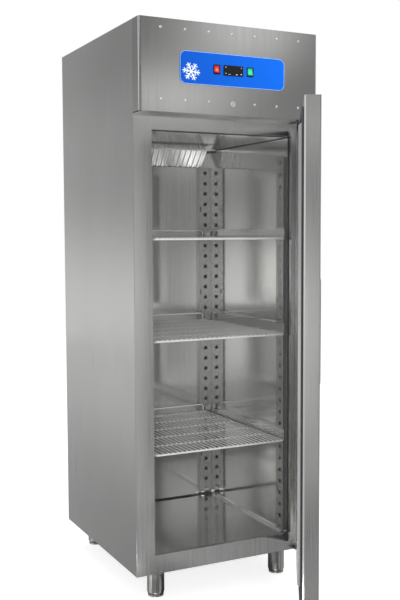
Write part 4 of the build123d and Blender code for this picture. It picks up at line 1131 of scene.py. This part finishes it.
@dataclass
class WireShelf:
    """One wire shelf: fine wires over cross wires and a rod frame, with a raised wire along its rear edge."""

    level: str
    top: float
    half: float = 265.0
    front: float = -352.0
    back: float = 298.0
    wire: float = 3.8
    wire_inset: float = 1.0
    wires: int = 28
    span: float = 506.0
    cross: float = 5.0
    crosses: int = 4
    rod: float = 7.0
    weld: float = 0.4
    corner: float = 10.0
    upstand: float = 28.0
    upstand_half: float = 247.0
    upstand_wire: float = 5.0
    upstand_corner: float = 12.0

    def row(
        self, name: str, count: int, first: Point, step: Point, wire: Point, diameter: float
    ) -> bpy.types.Object:
        """Lays a row of wires.

        Args:
            name: The row's name.
            count: How many wires it has.
            first: Where the first wire starts.
            step: From each wire to the next.
            wire: From a wire's start to its end.
            diameter: The wire's diameter.

        Returns:
            The row.
        """
        sizes = {
            "Count": count,
            "First": Vector(first) * MM,
            "Step": Vector(step) * MM,
            "Wire": Vector(wire) * MM,
            "Diameter": diameter * MM,
            "Finish": material_of(SHELF_WIRE),
        }
        return grow(name, row_of_wires(), sizes)

    def bend(
        self, name: str, points: Sequence[Point], closed: bool, corner: float, diameter: float
    ) -> bpy.types.Object:
        """Bends one rod along points.

        Args:
            name: The rod's name.
            points: Its corners.
            closed: Whether it is a ring.
            corner: The radius of its bends.
            diameter: Its diameter.

        Returns:
            The rod.
        """
        sizes = {"Corner": corner * MM, "Diameter": diameter * MM, "Finish": material_of(SHELF_WIRE)}
        return grow(name, bent_wire(), sizes, points, closed)

    def build(self) -> None:
        """Makes the shelf and hangs it on its body."""
        rod_z = self.top - self.wire - self.rod / 2 + self.weld
        cross_z = self.top - self.wire - self.cross / 2 + self.weld
        side = self.half - self.rod / 2
        front, back = self.front + self.rod / 2, self.back - self.rod / 2
        ring = [(-side, front, rod_z), (side, front, rod_z), (side, back, rod_z), (-side, back, rod_z)]
        step = (back - front) / (self.crosses + 1)
        pitch = self.span / (self.wires - 1)
        length = self.back - self.front - 2 * self.wire_inset
        crest = self.top + self.upstand - self.upstand_wire / 2
        reach = self.upstand_half
        arch = [(-reach, back, rod_z), (-reach, back, crest), (reach, back, crest), (reach, back, rod_z)]
        cross_start = (-side, front + step, cross_z)
        wire_start = (-self.span / 2, self.front + self.wire_inset, self.top - self.wire / 2)
        parts = [
            self.bend("frame", ring, True, self.corner, self.rod),
            self.bend("arch", arch, False, self.upstand_corner, self.upstand_wire),
            self.row("cross", self.crosses, cross_start, (0, step, 0), (2 * side, 0, 0), self.cross),
            self.row("wires", self.wires, wire_start, (pitch, 0, 0), (0, length, 0), self.wire),
        ]
        shelf = smooth(merge(f"{self.level}_wire_shelf", parts))
        attach(shelf, f"{self.level}_shelf", "bright_steel", f"{self.level}_shelf")


@dataclass
class Deflector:
    """The ribbed sheet under the ceiling that turns the cold air down, with a cheek at each end."""

    half: float = 246.0
    flare: float = 9.0
    top_y: float = 258.0
    top_z: float = 1649.0
    bottom_y: float = 300.0
    bottom_z: float = 1580.0
    wall_y: float = 315.0
    pitch: float = 24.0
    rise: float = 4.0
    sheet: float = 1.0
    bend_angle: float = 60.0

    def ribs(self) -> bpy.types.Object:
        """Presses the ribbed sheet and leans it in its place."""
        run, drop = self.bottom_y - self.top_y, self.top_z - self.bottom_z
        length = math.hypot(run, drop)
        sizes = {
            "Width": 2 * (self.half - self.sheet) * MM,
            "Length": length * MM,
            "Pitch": self.pitch * MM,
            "Rise": -self.rise * MM,
            "Finish": material_of(RIB_STEEL),
        }
        sheet = grow("ribs", ribbed_sheet(), sizes)
        for vertex in sheet.data.vertices:
            vertex.co.x *= 1 + self.flare / self.half * (0.5 - vertex.co.y / (length * MM))
        wall = sheet.modifiers.new("wall", "SOLIDIFY")
        wall.thickness, wall.offset = self.sheet * MM, -1.0
        settle(sheet)
        along = Vector((0, run, -drop)).normalized()
        facing = Vector((0, -drop, -run)).normalized()
        middle = Vector((0, (self.top_y + self.bottom_y) / 2, (self.top_z + self.bottom_z) / 2)) * MM
        turn = Matrix((along.cross(facing), along, facing)).transposed().to_4x4()
        sheet.data.transform(Matrix.Translation(middle) @ turn)
        return sheet

    def cheek(self, side: Side) -> bpy.types.Object:
        """Cuts the cheek at one side."""
        build = bmesh.new()
        corners = (
            (self.half + self.flare, self.top_y, self.top_z),
            (self.half + self.flare, self.wall_y, self.top_z),
            (self.half, self.wall_y, self.bottom_z),
            (self.half, self.bottom_y, self.bottom_z),
        )
        near, far = (
            [build.verts.new(Vector((side.value * (x - inset), y, z)) * MM) for x, y, z in corners]
            for inset in (0.0, self.sheet)
        )
        slab(build, near, far)
        return coat(place_mesh("cheek", mesh_of("cheek", build)), RIB_STEEL)

    def build(self) -> None:
        """Makes the deflector and fixes it in the cabinet."""
        parts = [self.ribs(), *(self.cheek(side) for side in Side)]
        piece = smooth(merge("ribbed_deflector", parts), self.bend_angle)
        attach(piece, "cabinet", "polished_steel", "air_deflector")


@dataclass
class CeilingTrim:
    """What finishes the ceiling: the collars of its air ways, the deflector's rail and the silicone bead."""

    ways: tuple[tuple[float, float, float], ...] = ((204.6, 262.4, 307.6), (169.6, 0.4, 89.6))
    collar_bottom: float = 1648.6
    collar_top: float = 1722.0
    wall: float = 0.8
    rail_half: float = 288.0
    rail_front: float = 248.0
    rail_back: float = 256.0
    rail_bottom: float = 1645.5
    ceiling: float = 1649.0
    side: float = 289.2
    front: float = -354.0
    back: float = 314.2
    bead: float = 3.4
    bead_drop: float = 0.8
    bead_corner: float = 3.0

    def collar(self, half: float, front: float, back: float) -> bpy.types.Object:
        """Lines one air way, so that its foam doesn't show.

        Args:
            half: Half of its width.
            front: Its front.
            back: Its back.

        Returns:
            The collar.
        """
        build = bmesh.new()
        rings = []
        for inset, z in (
            (0.0, self.collar_bottom),
            (0.0, self.collar_top),
            (self.wall, self.collar_top),
            (self.wall, self.collar_bottom),
        ):
            x, y0, y1 = half - inset, front + inset, back - inset
            corners = ((-x, y0, z), (x, y0, z), (x, y1, z), (-x, y1, z))
            rings.append([build.verts.new(Vector(at) * MM) for at in corners])
        closed_bands(build, rings)
        return coat(place_mesh("collar", mesh_of("collar", build)), DARK_ABS)

    def build(self) -> None:
        """Makes the trim and fixes it in the cabinet."""
        collars = merge("air_way_collars", [self.collar(*way) for way in self.ways])
        attach(collars, "cabinet", "black_plastic")
        low = (-self.rail_half, self.rail_front, self.rail_bottom)
        high = (self.rail_half, self.rail_back, self.ceiling)
        rail = coat(place_mesh("ceiling_rail", box_mesh(low, high)), RIB_STEEL)
        attach(rail, "cabinet", "polished_steel")
        z = self.ceiling - self.bead_drop
        corners = [(-self.side, self.front, z), (self.side, self.front, z)]
        corners += [(self.side, self.back, z), (-self.side, self.back, z)]
        sizes = {"Corner": self.bead_corner * MM, "Diameter": self.bead * MM, "Finish": material_of(BEAD)}
        bead = grow("ceiling_bead", bent_wire(), sizes, corners, True)
        attach(smooth(bead), "cabinet", "grey_gasket")


@dataclass
class ThermalBreak:
    """The plastic angle round the mouth of the liner, which keeps the outer frame from getting cold."""

    half: float = 290.0
    floor: float = 144.0
    ceiling: float = 1649.0
    front: float = -355.9
    depth: float = 27.5
    wall: float = 1.3
    gap: float = 0.1
    side_leg: float = 9.4
    sill_leg: float = 21.0
    head_leg: float = 1.8

    def ring(self, y: float, side: float, sill: float, head: float) -> list[Point]:
        """The corners of one rectangle round the mouth.

        Args:
            y: Where it lies.
            side: How far it is in from each side wall.
            sill: How far it is above the floor.
            head: How far it is below the ceiling.

        Returns:
            Its four corners.
        """
        x, low, high = self.half - side, self.floor + sill, self.ceiling - head
        return [(-x, y, low), (x, y, low), (x, y, high), (-x, y, high)]

    def build(self) -> None:
        """Makes the angle and fixes it in the cabinet."""
        back, inner = self.front + self.depth, self.front + self.wall
        legs = (self.side_leg, self.sill_leg, self.head_leg)
        build = bmesh.new()
        rings = []
        for y, insets in (
            (back, (self.gap,) * 3),
            (back, (self.wall,) * 3),
            (inner, (self.wall,) * 3),
            (inner, legs),
            (self.front, legs),
            (self.front, (self.gap,) * 3),
        ):
            rings.append([build.verts.new(Vector(at) * MM) for at in self.ring(y, *insets)])
        closed_bands(build, rings)
        angle = coat(place_mesh("thermal_break", mesh_of("thermal_break", build)), STRIP_PVC)
        attach(angle, "cabinet", "grey_gasket")


@dataclass
class HoodScrews:
    """The thirteen pan-head screws that hold the hood, each with a cross recess."""

    front: float = -428.5
    pitch: float = 90.0
    per_row: int = 7
    top_z: float = 1979.0
    bottom_z: float = 1743.5
    head_radius: float = 4.8
    head_height: float = 2.6
    head_sides: int = 24
    dome: Profile = ((1.0, 0.7), (0.94, 1.3), (0.78, 1.9), (0.5, 2.4))
    recess_half: float = 2.6
    slot_half: float = 1.0
    cut_middle: float = 2.8
    cut_height: float = 2.4

    def head(self) -> bpy.types.Object:
        """Makes one screw with its head towards the front and its recess cut in."""
        r = self.head_radius
        dome = [(r * share, z) for share, z in self.dome]
        profile = [(0.0, 0.0), (r, 0.0), *dome, (0.0, self.head_height)]
        screw = lathe("screw", profile, (0, 0, 0), self.head_sides)
        cutter = bmesh.new()
        middle = Matrix.Translation((0, 0, self.cut_middle * MM))
        for half_x, half_y in ((self.slot_half, self.recess_half), (self.recess_half, self.slot_half)):
            size = Matrix.Diagonal((half_x * 2 * MM, half_y * 2 * MM, self.cut_height * MM, 1.0))
            bmesh.ops.create_cube(cutter, size=1.0, matrix=middle @ size)
        cross = place_mesh("cross", mesh_of("cross", cutter))
        cut = screw.modifiers.new("recess", "BOOLEAN")
        cut.object, cut.operation, cut.solver = cross, "DIFFERENCE", "EXACT"
        cut.use_self = True
        settle(screw)
        bpy.data.objects.remove(cross)
        screw.data.transform(Matrix.Rotation(math.radians(90), 4, "X"))
        return screw

    def build(self) -> None:
        """Sets a screw at each place in the two rows; the lock has the middle of the lower one."""
        half_row = self.per_row // 2
        row = [self.pitch * i for i in range(-half_row, half_row + 1)]
        places = [(x, self.front, self.top_z) for x in row]
        places += [(x, self.front, self.bottom_z) for x in row if x]
        screw = self.head()
        sizes = {"Part": screw, "Finish": material_of(BRIGHT_ZINC)}
        screws = grow("hood_screw_heads", copies_at_points(), sizes, places)
        bpy.data.objects.remove(screw)
        attach(smooth(screws), "cabinet", "bright_steel", "hood_screws")


@dataclass
class ControlPanel:
    """What is printed and lit on the blue panel: a painted highlight along its edge, its snowflake, display,
    key marks and rockers.
    """

    nodes: dict[str, bpy.types.Object]
    x: float = 5.0
    z: float = 1855.0
    width: float = 412.0
    height: float = 111.0
    corner: float = 23.0
    face: float = -430.0
    ink: float = 0.12
    border_edges: tuple[float, float] = (0.6, 2.2)
    flake_x: float = -158.0
    flake_z: float = 1842.0
    flake_width: float = 66.0
    flake_height: float = 62.0
    flake_turn: float = 24.0
    flake_arm: float = 4.0
    flake_branch: float = 2.9
    flake_lean: float = 48.0
    flake_branches: tuple[tuple[float, float], ...] = ((11.0, 12.0), (20.5, 12.0))
    screen_x: float = 3.5
    screen_z: float = 1856.8
    screen_width: float = 41.4
    screen_height: float = 16.4
    screen_corner: float = 0.8
    screen_depth: float = 0.5
    screen_face: float = -431.7
    body_x: float = 3.5
    body_z: float = 1854.8
    body_face: float = -432.5
    key_x: float = 30.0
    key_z: float = 10.5
    key_face: float = -433.1
    key_mark: float = 3.6
    key_mark_corner: float = 1.79
    display_marks: tuple[tuple[float, float], ...] = ((-18.4, 2.4), (-14.0, 2.4), (12.7, 6.0))
    display_mark_drop: float = 12.4
    display_mark_height: float = 2.4
    display_mark_corner: float = 1.1
    mark_steps: int = 6
    rocker_ease: float = 0.8

    def border(self) -> None:
        """Paints a pale line along the panel's edge: a painted highlight that stands in for light caught by
        the panel's edge.
        """
        build = bmesh.new()
        rings = []
        for inset in self.border_edges:
            width, height = self.width - 2 * inset, self.height - 2 * inset
            outline = rounded_box_outline(self.x, self.z, width, height, self.corner - inset)
            for y in (self.face - self.ink, self.face):
                rings.append([build.verts.new((x * MM, y * MM, z * MM)) for x, z in outline])
        outer_front, outer_back, inner_front, inner_back = rings
        closed_bands(build, (outer_front, inner_front, inner_back, outer_back))
        # A painted highlight: this pale line stands in for light along the panel's edge.
        line = coat(place_mesh("panel_border", mesh_of("panel_border", build)), PAINTED_EDGE_HIGHLIGHT)
        attach(line, "cabinet", "blue_overlay")

    def flake_outline(self) -> list[tuple[float, float]]:
        """The snowflake's outline: six arms, each with two pairs of branches that point outwards."""
        arm, branch, lean = self.flake_arm / 2, self.flake_branch / 2, math.radians(self.flake_lean)
        sin, cos = math.sin(lean), math.cos(lean)
        side = []
        for foot, reach in self.flake_branches:
            edges = []
            for edge in (branch, -branch):
                root = (arm - edge * cos) / sin
                edges.append([(root * sin + edge * cos, foot + root * cos - edge * sin)])
                edges[-1].append((reach * sin + edge * cos, foot + reach * cos - edge * sin))
            side += [edges[0][0], edges[0][1], edges[1][1], edges[1][0]]
        tip = self.flake_width / 2
        right = [(arm, arm * math.sqrt(3)), *side, (arm, tip)]
        whole = [*right, *((-x, z) for x, z in reversed(right[1:]))]
        points = []
        for i in range(6):
            turn = Matrix.Rotation(math.radians(self.flake_turn - 60 * i), 2)
            points += [turn @ Vector(point) for point in reversed(whole)]
        squash = self.flake_height / self.flake_width
        return [(self.flake_x + p.x, self.flake_z + p.y * squash) for p in points]

    def printed(self, name: str, outline: Profile, face: float, finish: Finish) -> bpy.types.Object:
        """Prints a flat shape.

        Args:
            name: The shape's name.
            outline: Its corners in order.
            face: The surface that it is printed on.
            finish: Its ink.

        Returns:
            The printed shape.
        """
        return coat(place_mesh(name, mesh_of(name, front_prism(outline, face - self.ink, face))), finish)

    def snowflake(self) -> None:
        """Prints the snowflake, the usual sign for cold."""
        flake = self.printed("panel_snowflake", self.flake_outline(), self.face, WHITE_INK)
        attach(flake, "cabinet", "blue_overlay")

    def display(self) -> None:
        """Fits the smoked window into the controller's sunk display."""
        outline = rounded_box_outline(
            self.screen_x, self.screen_z, self.screen_width, self.screen_height, self.screen_corner, 3
        )
        build = front_prism(outline, self.screen_face - self.screen_depth, self.screen_face)
        window = coat(place_mesh("display_window", mesh_of("display_window", build)), SMOKED_WINDOW)
        attach(window, "cabinet", "black_plastic")

    def marks(self) -> None:
        """Prints one plain mark on each key, and three small ones under the display."""
        for name, dx, dz, ink in (
            ("key_upper_left", -self.key_x, self.key_z, LILAC_INK),
            ("key_upper_right", self.key_x, self.key_z, ORANGE_INK),
            ("key_lower_left", -self.key_x, -self.key_z, MINT_INK),
            ("key_lower_right", self.key_x, -self.key_z, WHITE_INK),
        ):
            sizes = (self.key_mark, self.key_mark, self.key_mark_corner, self.mark_steps)
            outline = rounded_box_outline(self.body_x + dx, self.body_z + dz, *sizes)
            attach(self.printed(f"{name}_mark", outline, self.key_face, ink), name, "key_plastic")
        z = self.body_z - self.display_mark_drop
        for number, (dx, width) in enumerate(self.display_marks):
            sizes = (width, self.display_mark_height, self.display_mark_corner, self.mark_steps)
            outline = rounded_box_outline(self.body_x + dx, z, *sizes)
            mark = self.printed(f"display_mark_{number}", outline, self.body_face, WHITE_INK)
            attach(mark, "cabinet", "black_plastic")

    def rockers(self) -> None:
        """Lights the two rockers from behind their middles."""
        for name, lens, slot in (
            ("red_rocker", RED_LENS, "red_lens"),
            ("green_rocker", GREEN_LENS, "green_lens"),
        ):
            attach(coat(eased(self.nodes[name], self.rocker_ease), lens), name, slot, name)

    def build(self) -> None:
        """Adds everything that the CAD panel lacks."""
        self.border()
        self.snowflake()
        self.display()
        self.marks()
        self.rockers()


# The studio


def only_mirrored(piece: bpy.types.Object) -> None:
    """Shows a piece in reflections only: no camera, no shadow and no diffuse light meets it."""
    piece.visible_camera = False
    piece.visible_shadow = False
    piece.visible_diffuse = False


@dataclass(frozen=True)
class Glow:
    """A soft oval patch of light on a card, in metres."""

    centre: Point
    radii: Point
    strength: float


@dataclass
class Card:
    """A large panel outside the frame that the steel mirrors, as in any studio; the camera doesn't see it.

    Its base tone is even, and soft patches of light lie on it. All sizes are in metres.
    """

    name: str
    centre: Point
    normal: Point
    width: float
    height: float
    tone: float
    glows: tuple[Glow, ...] = ()

    def material(self) -> bpy.types.Material:
        """Builds the card's light: its base tone and the patches added up."""
        material, tree = blank_material(self.name)
        place = add_node(tree, "ShaderNodeTexCoord").outputs["Object"]
        total = add_node(tree, "ShaderNodeValue").outputs[0]
        total.default_value = self.tone
        for glow in self.glows:
            off = add_node(tree, "ShaderNodeVectorMath", {0: place, 1: glow.centre}, operation="SUBTRACT")
            share = add_node(
                tree, "ShaderNodeVectorMath", {0: off.outputs[0], 1: glow.radii}, operation="DIVIDE"
            )
            away = add_node(tree, "ShaderNodeVectorMath", {0: share.outputs[0]}, operation="LENGTH")
            total = reckon(tree, "ADD", total, fading(tree, away.outputs["Value"], 1.0, glow.strength))
        light = add_node(tree, "ShaderNodeEmission", {"Strength": total})
        add_node(tree, "ShaderNodeOutputMaterial", {"Surface": light.outputs[0]})
        return material

    def build(self) -> None:
        """Stands the card up and hides it from the camera and from diffuse light."""
        build = bmesh.new()
        bmesh.ops.create_grid(build, x_segments=1, y_segments=1, size=0.5)
        facing = Vector(self.normal).normalized()
        lies_flat = abs(facing.z) > 0.9
        upright = Vector((0, 1, 0)) if lies_flat else Vector((0, 0, 1))
        across = upright.cross(facing).normalized()
        sides = (across * self.width, facing.cross(across) * self.height, facing)
        turn = Matrix(sides).transposed().to_4x4()
        bmesh.ops.transform(build, matrix=Matrix.Translation(self.centre) @ turn, verts=build.verts)
        panel = place_mesh(self.name, plain_mesh(self.name, build))
        panel.data.materials.append(self.material())
        only_mirrored(panel)


@dataclass
class Lamp:
    """A square soft lamp that no steel mirrors, with its sizes in metres and its power in watts."""

    name: str
    place: Point
    aim: Point
    size: float
    power: float

    def build(self) -> None:
        """Hangs the lamp and turns it to what it lights."""
        data = bpy.data.lights.new(self.name, "AREA")
        data.size = self.size
        data.energy = self.power
        lamp = bpy.data.objects.new(self.name, data)
        bpy.context.scene.collection.objects.link(lamp)
        lamp.visible_glossy = False
        lamp.location = self.place
        lamp.rotation_mode = "QUATERNION"
        lamp.rotation_quaternion = (Vector(self.aim) - Vector(self.place)).to_track_quat("-Z", "Y")


@dataclass
class Studio:
    """The camera, the backdrop, the floor, the lamps and the cards.

    The camera's place is in millimetres, and all else is in metres.
    """

    eye: Point = (-1535.7, -3241.0, 1292.8)
    yaw: float = 26.589
    pitch: float = 4.140
    roll: float = -0.236
    lens: float = 54.68
    sensor: float = 36.0
    backdrop: float = 1.0
    daylight: float = 0.55
    floor_half: float = 8.0
    floor_z: float = -0.0004
    floor_colour: str = "#C8C8C7"
    floor_glow: float = 0.78
    acrylic_z: float = -0.0002
    acrylic_grey: float = 0.8
    acrylic_blur: float = 0.1
    lamps: tuple[Lamp, ...] = (
        Lamp("key_lamp", (2.6, -3.6, 4.2), (0, 0, 1.0), 2.6, 100.0),
        Lamp("fill_lamp", (-1.7, -4.6, 1.3), (0, 0, 0.9), 2.0, 100.0),
        Lamp("top_lamp", (0.0, 0.6, 5.0), (0, 0, 0.5), 3.0, 60.0),
    )
    cards: tuple[Card, ...] = (
        Card(
            "front_card",
            (0.0, -6.5, 3.0),
            (0, 1, 0),
            16.0,
            6.0,
            0.22,
            (
                Glow((2.6, -6.5, 2.76), (1.2, 9.0, 0.4), 1.05),
                Glow((3.5, -6.5, 3.6), (1.2, 9.0, 0.75), 1.05),
                Glow((-4.2, -6.5, 0.4), (1.95, 9.0, 1.8), 1.15),
                Glow((-3.2, -6.5, 2.4), (1.4, 9.0, 0.55), 0.6),
                Glow((2.8, -6.5, 0.6), (4.5, 9.0, 2.6), 0.62),
            ),
        ),
        Card(
            "left_back_card",
            (-3.0, 6.0, 2.5),
            (1, 0, 0),
            9.0,
            5.0,
            0.38,
            (
                Glow((-3.0, 6.0, 0.4), (9.0, 9.0, 1.5), 0.44),
                Glow((-3.0, 6.0, 3.4), (9.0, 9.0, 1.0), -0.14),
            ),
        ),
        Card(
            "left_front_card",
            (-3.1, -2.1, 1.8),
            (1, 0, 0),
            2.6,
            3.6,
            0.36,
            (Glow((-3.1, -1.0, 0.4), (9.0, 9.0, 0.8), 0.25),),
        ),
        Card(
            "left_softbox",
            (-3.0, -0.35, 1.2),
            (1, 0, 0),
            0.9,
            2.2,
            0.8,
            (Glow((-3.0, -0.48, 0.9), (9.0, 0.3, 0.55), 3.6),),
        ),
        Card("high_softbox", (-2.9, -3.8, 4.2), (0.5, 0.45, -0.74), 2.4, 2.4, 4.0),
        Card("right_card", (3.4, 0.5, 1.8), (-1, 0, 0), 6.0, 3.6, 0.5),
        Card(
            "floor_reflector",
            (-0.55, -0.76, 0.001),
            (0, 0, 1),
            0.7,
            0.14,
            1.2,
            (Glow((-0.56, -0.76, 0.0), (0.3, 0.3, 9.0), 8.0),),
        ),
        Card("front_floor_card", (-1.7, -3.3, 0.001), (0, 0, 1), 1.6, 1.4, 0.5),
    )

    def camera(self) -> None:
        """Sets the camera where the photograph was taken from."""
        yaw, pitch, roll = (math.radians(angle) for angle in (self.yaw, self.pitch, self.roll))
        level = math.cos(pitch)
        ahead = Vector((math.sin(yaw) * level, math.cos(yaw) * level, -math.sin(pitch)))
        right = Vector((math.cos(yaw), -math.sin(yaw), 0))
        up = right.cross(ahead)
        tilted_right = math.cos(roll) * right + math.sin(roll) * up
        tilted_up = math.cos(roll) * up - math.sin(roll) * right
        data = bpy.data.cameras.new("camera")
        data.lens = self.lens
        data.sensor_width = self.sensor
        camera = bpy.data.objects.new("camera", data)
        bpy.context.scene.collection.objects.link(camera)
        turn = Matrix((tilted_right, tilted_up, -ahead)).transposed().to_4x4()
        camera.matrix_world = Matrix.Translation(Vector(self.eye) * MM) @ turn
        bpy.context.scene.camera = camera

    def seen(self, tree: Tree) -> Socket:
        """Adds a value that is 1 for rays from the camera, gloss or glass, and 0 for diffuse light."""
        path = add_node(tree, "ShaderNodeLightPath")
        value = path.outputs["Is Camera Ray"]
        for name in ("Is Glossy Ray", "Is Transmission Ray"):
            value = reckon(tree, "MAXIMUM", value, path.outputs[name])
        return value

    def world(self) -> None:
        """Gives a white background and a softer grey light."""
        world = bpy.data.worlds.new("studio")
        bpy.context.scene.world = world
        world.use_nodes = True
        tree = world.node_tree
        tree.nodes.clear()
        white = linear("#FFFFFF")
        light = add_node(tree, "ShaderNodeBackground", {"Color": white, "Strength": self.daylight})
        shown = add_node(tree, "ShaderNodeBackground", {"Color": white, "Strength": self.backdrop})
        inputs = {0: self.seen(tree), 1: light.outputs[0], 2: shown.outputs[0]}
        mix = add_node(tree, "ShaderNodeMixShader", inputs)
        add_node(tree, "ShaderNodeOutputWorld", {"Surface": mix.outputs[0]})

    def ground(self, name: str, z: float, material: bpy.types.Material) -> bpy.types.Object:
        """Lays a wide level sheet.

        Args:
            name: The sheet's name.
            z: Its height in metres.
            material: Its material.

        Returns:
            The sheet.
        """
        build = bmesh.new()
        bmesh.ops.create_grid(build, x_segments=1, y_segments=1, size=self.floor_half)
        bmesh.ops.translate(build, vec=(0, 0, z), verts=build.verts)
        sheet = place_mesh(name, plain_mesh(name, build))
        sheet.data.materials.append(material)
        return sheet

    def floor(self) -> None:
        """Lays the pale floor, which keeps the object's shadow."""
        material, tree = blank_material("pale_floor")
        matt = add_node(tree, "ShaderNodeBsdfDiffuse", {"Color": linear(self.floor_colour)})
        lift = reckon(tree, "MULTIPLY", self.seen(tree), self.floor_glow)
        glow = add_node(tree, "ShaderNodeEmission", {"Strength": lift})
        both = add_node(tree, "ShaderNodeAddShader", {0: matt.outputs[0], 1: glow.outputs[0]})
        add_node(tree, "ShaderNodeOutputMaterial", {"Surface": both.outputs[0]})
        self.ground("floor", self.floor_z, material)

    def mirror_sheet(self) -> None:
        """Lays a grey acrylic sheet just over the floor, for low metal to mirror."""
        material, tree = blank_material("grey_acrylic_sheet")
        surface = {"Color": (*(self.acrylic_grey,) * 3, 1.0), "Roughness": self.acrylic_blur}
        gloss = add_node(tree, "ShaderNodeBsdfAnisotropic", surface)
        add_node(tree, "ShaderNodeOutputMaterial", {"Surface": gloss.outputs[0]})
        only_mirrored(self.ground("acrylic_sheet", self.acrylic_z, material))

    def build(self) -> None:
        """Sets up the whole studio."""
        self.camera()
        self.world()
        self.floor()
        for lamp in self.lamps:
            lamp.build()
        self.mirror_sheet()
        for card in self.cards:
            card.build()


# The whole freezer

SHELF_TOPS = {"upper": 1281.8, "middle": 924.2, "lower": 521.9}
COILS = (
    FinnedCoil("condenser_coil", (-5.0, -320.0, 1722.5), (265.0, -265.0, 1984.0), 6),
    FinnedCoil("evaporator_coil", (-185.0, 95.0, 1746.0), (185.0, 165.0, 1956.0), 5),
)


def main() -> None:
    """Builds the looks, sub-assembly by sub-assembly."""
    logging.basicConfig(level=logging.INFO, format="%(message)s")
    for thing in list(bpy.data.objects):
        bpy.data.objects.remove(thing)
    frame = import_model()
    bpy.context.scene.view_settings.view_transform = "Standard"
    Studio().build()
    Shell(frame["nodes"]).dress()
    Legs().build()
    for level, top in SHELF_TOPS.items():
        WireShelf(level, top).build()
    Deflector().build()
    CeilingTrim().build()
    ThermalBreak().build()
    for coil in COILS:
        coil.build()
    HoodScrews().build()
    ControlPanel(frame["nodes"]).build()


if __name__ == "__main__":
    main()
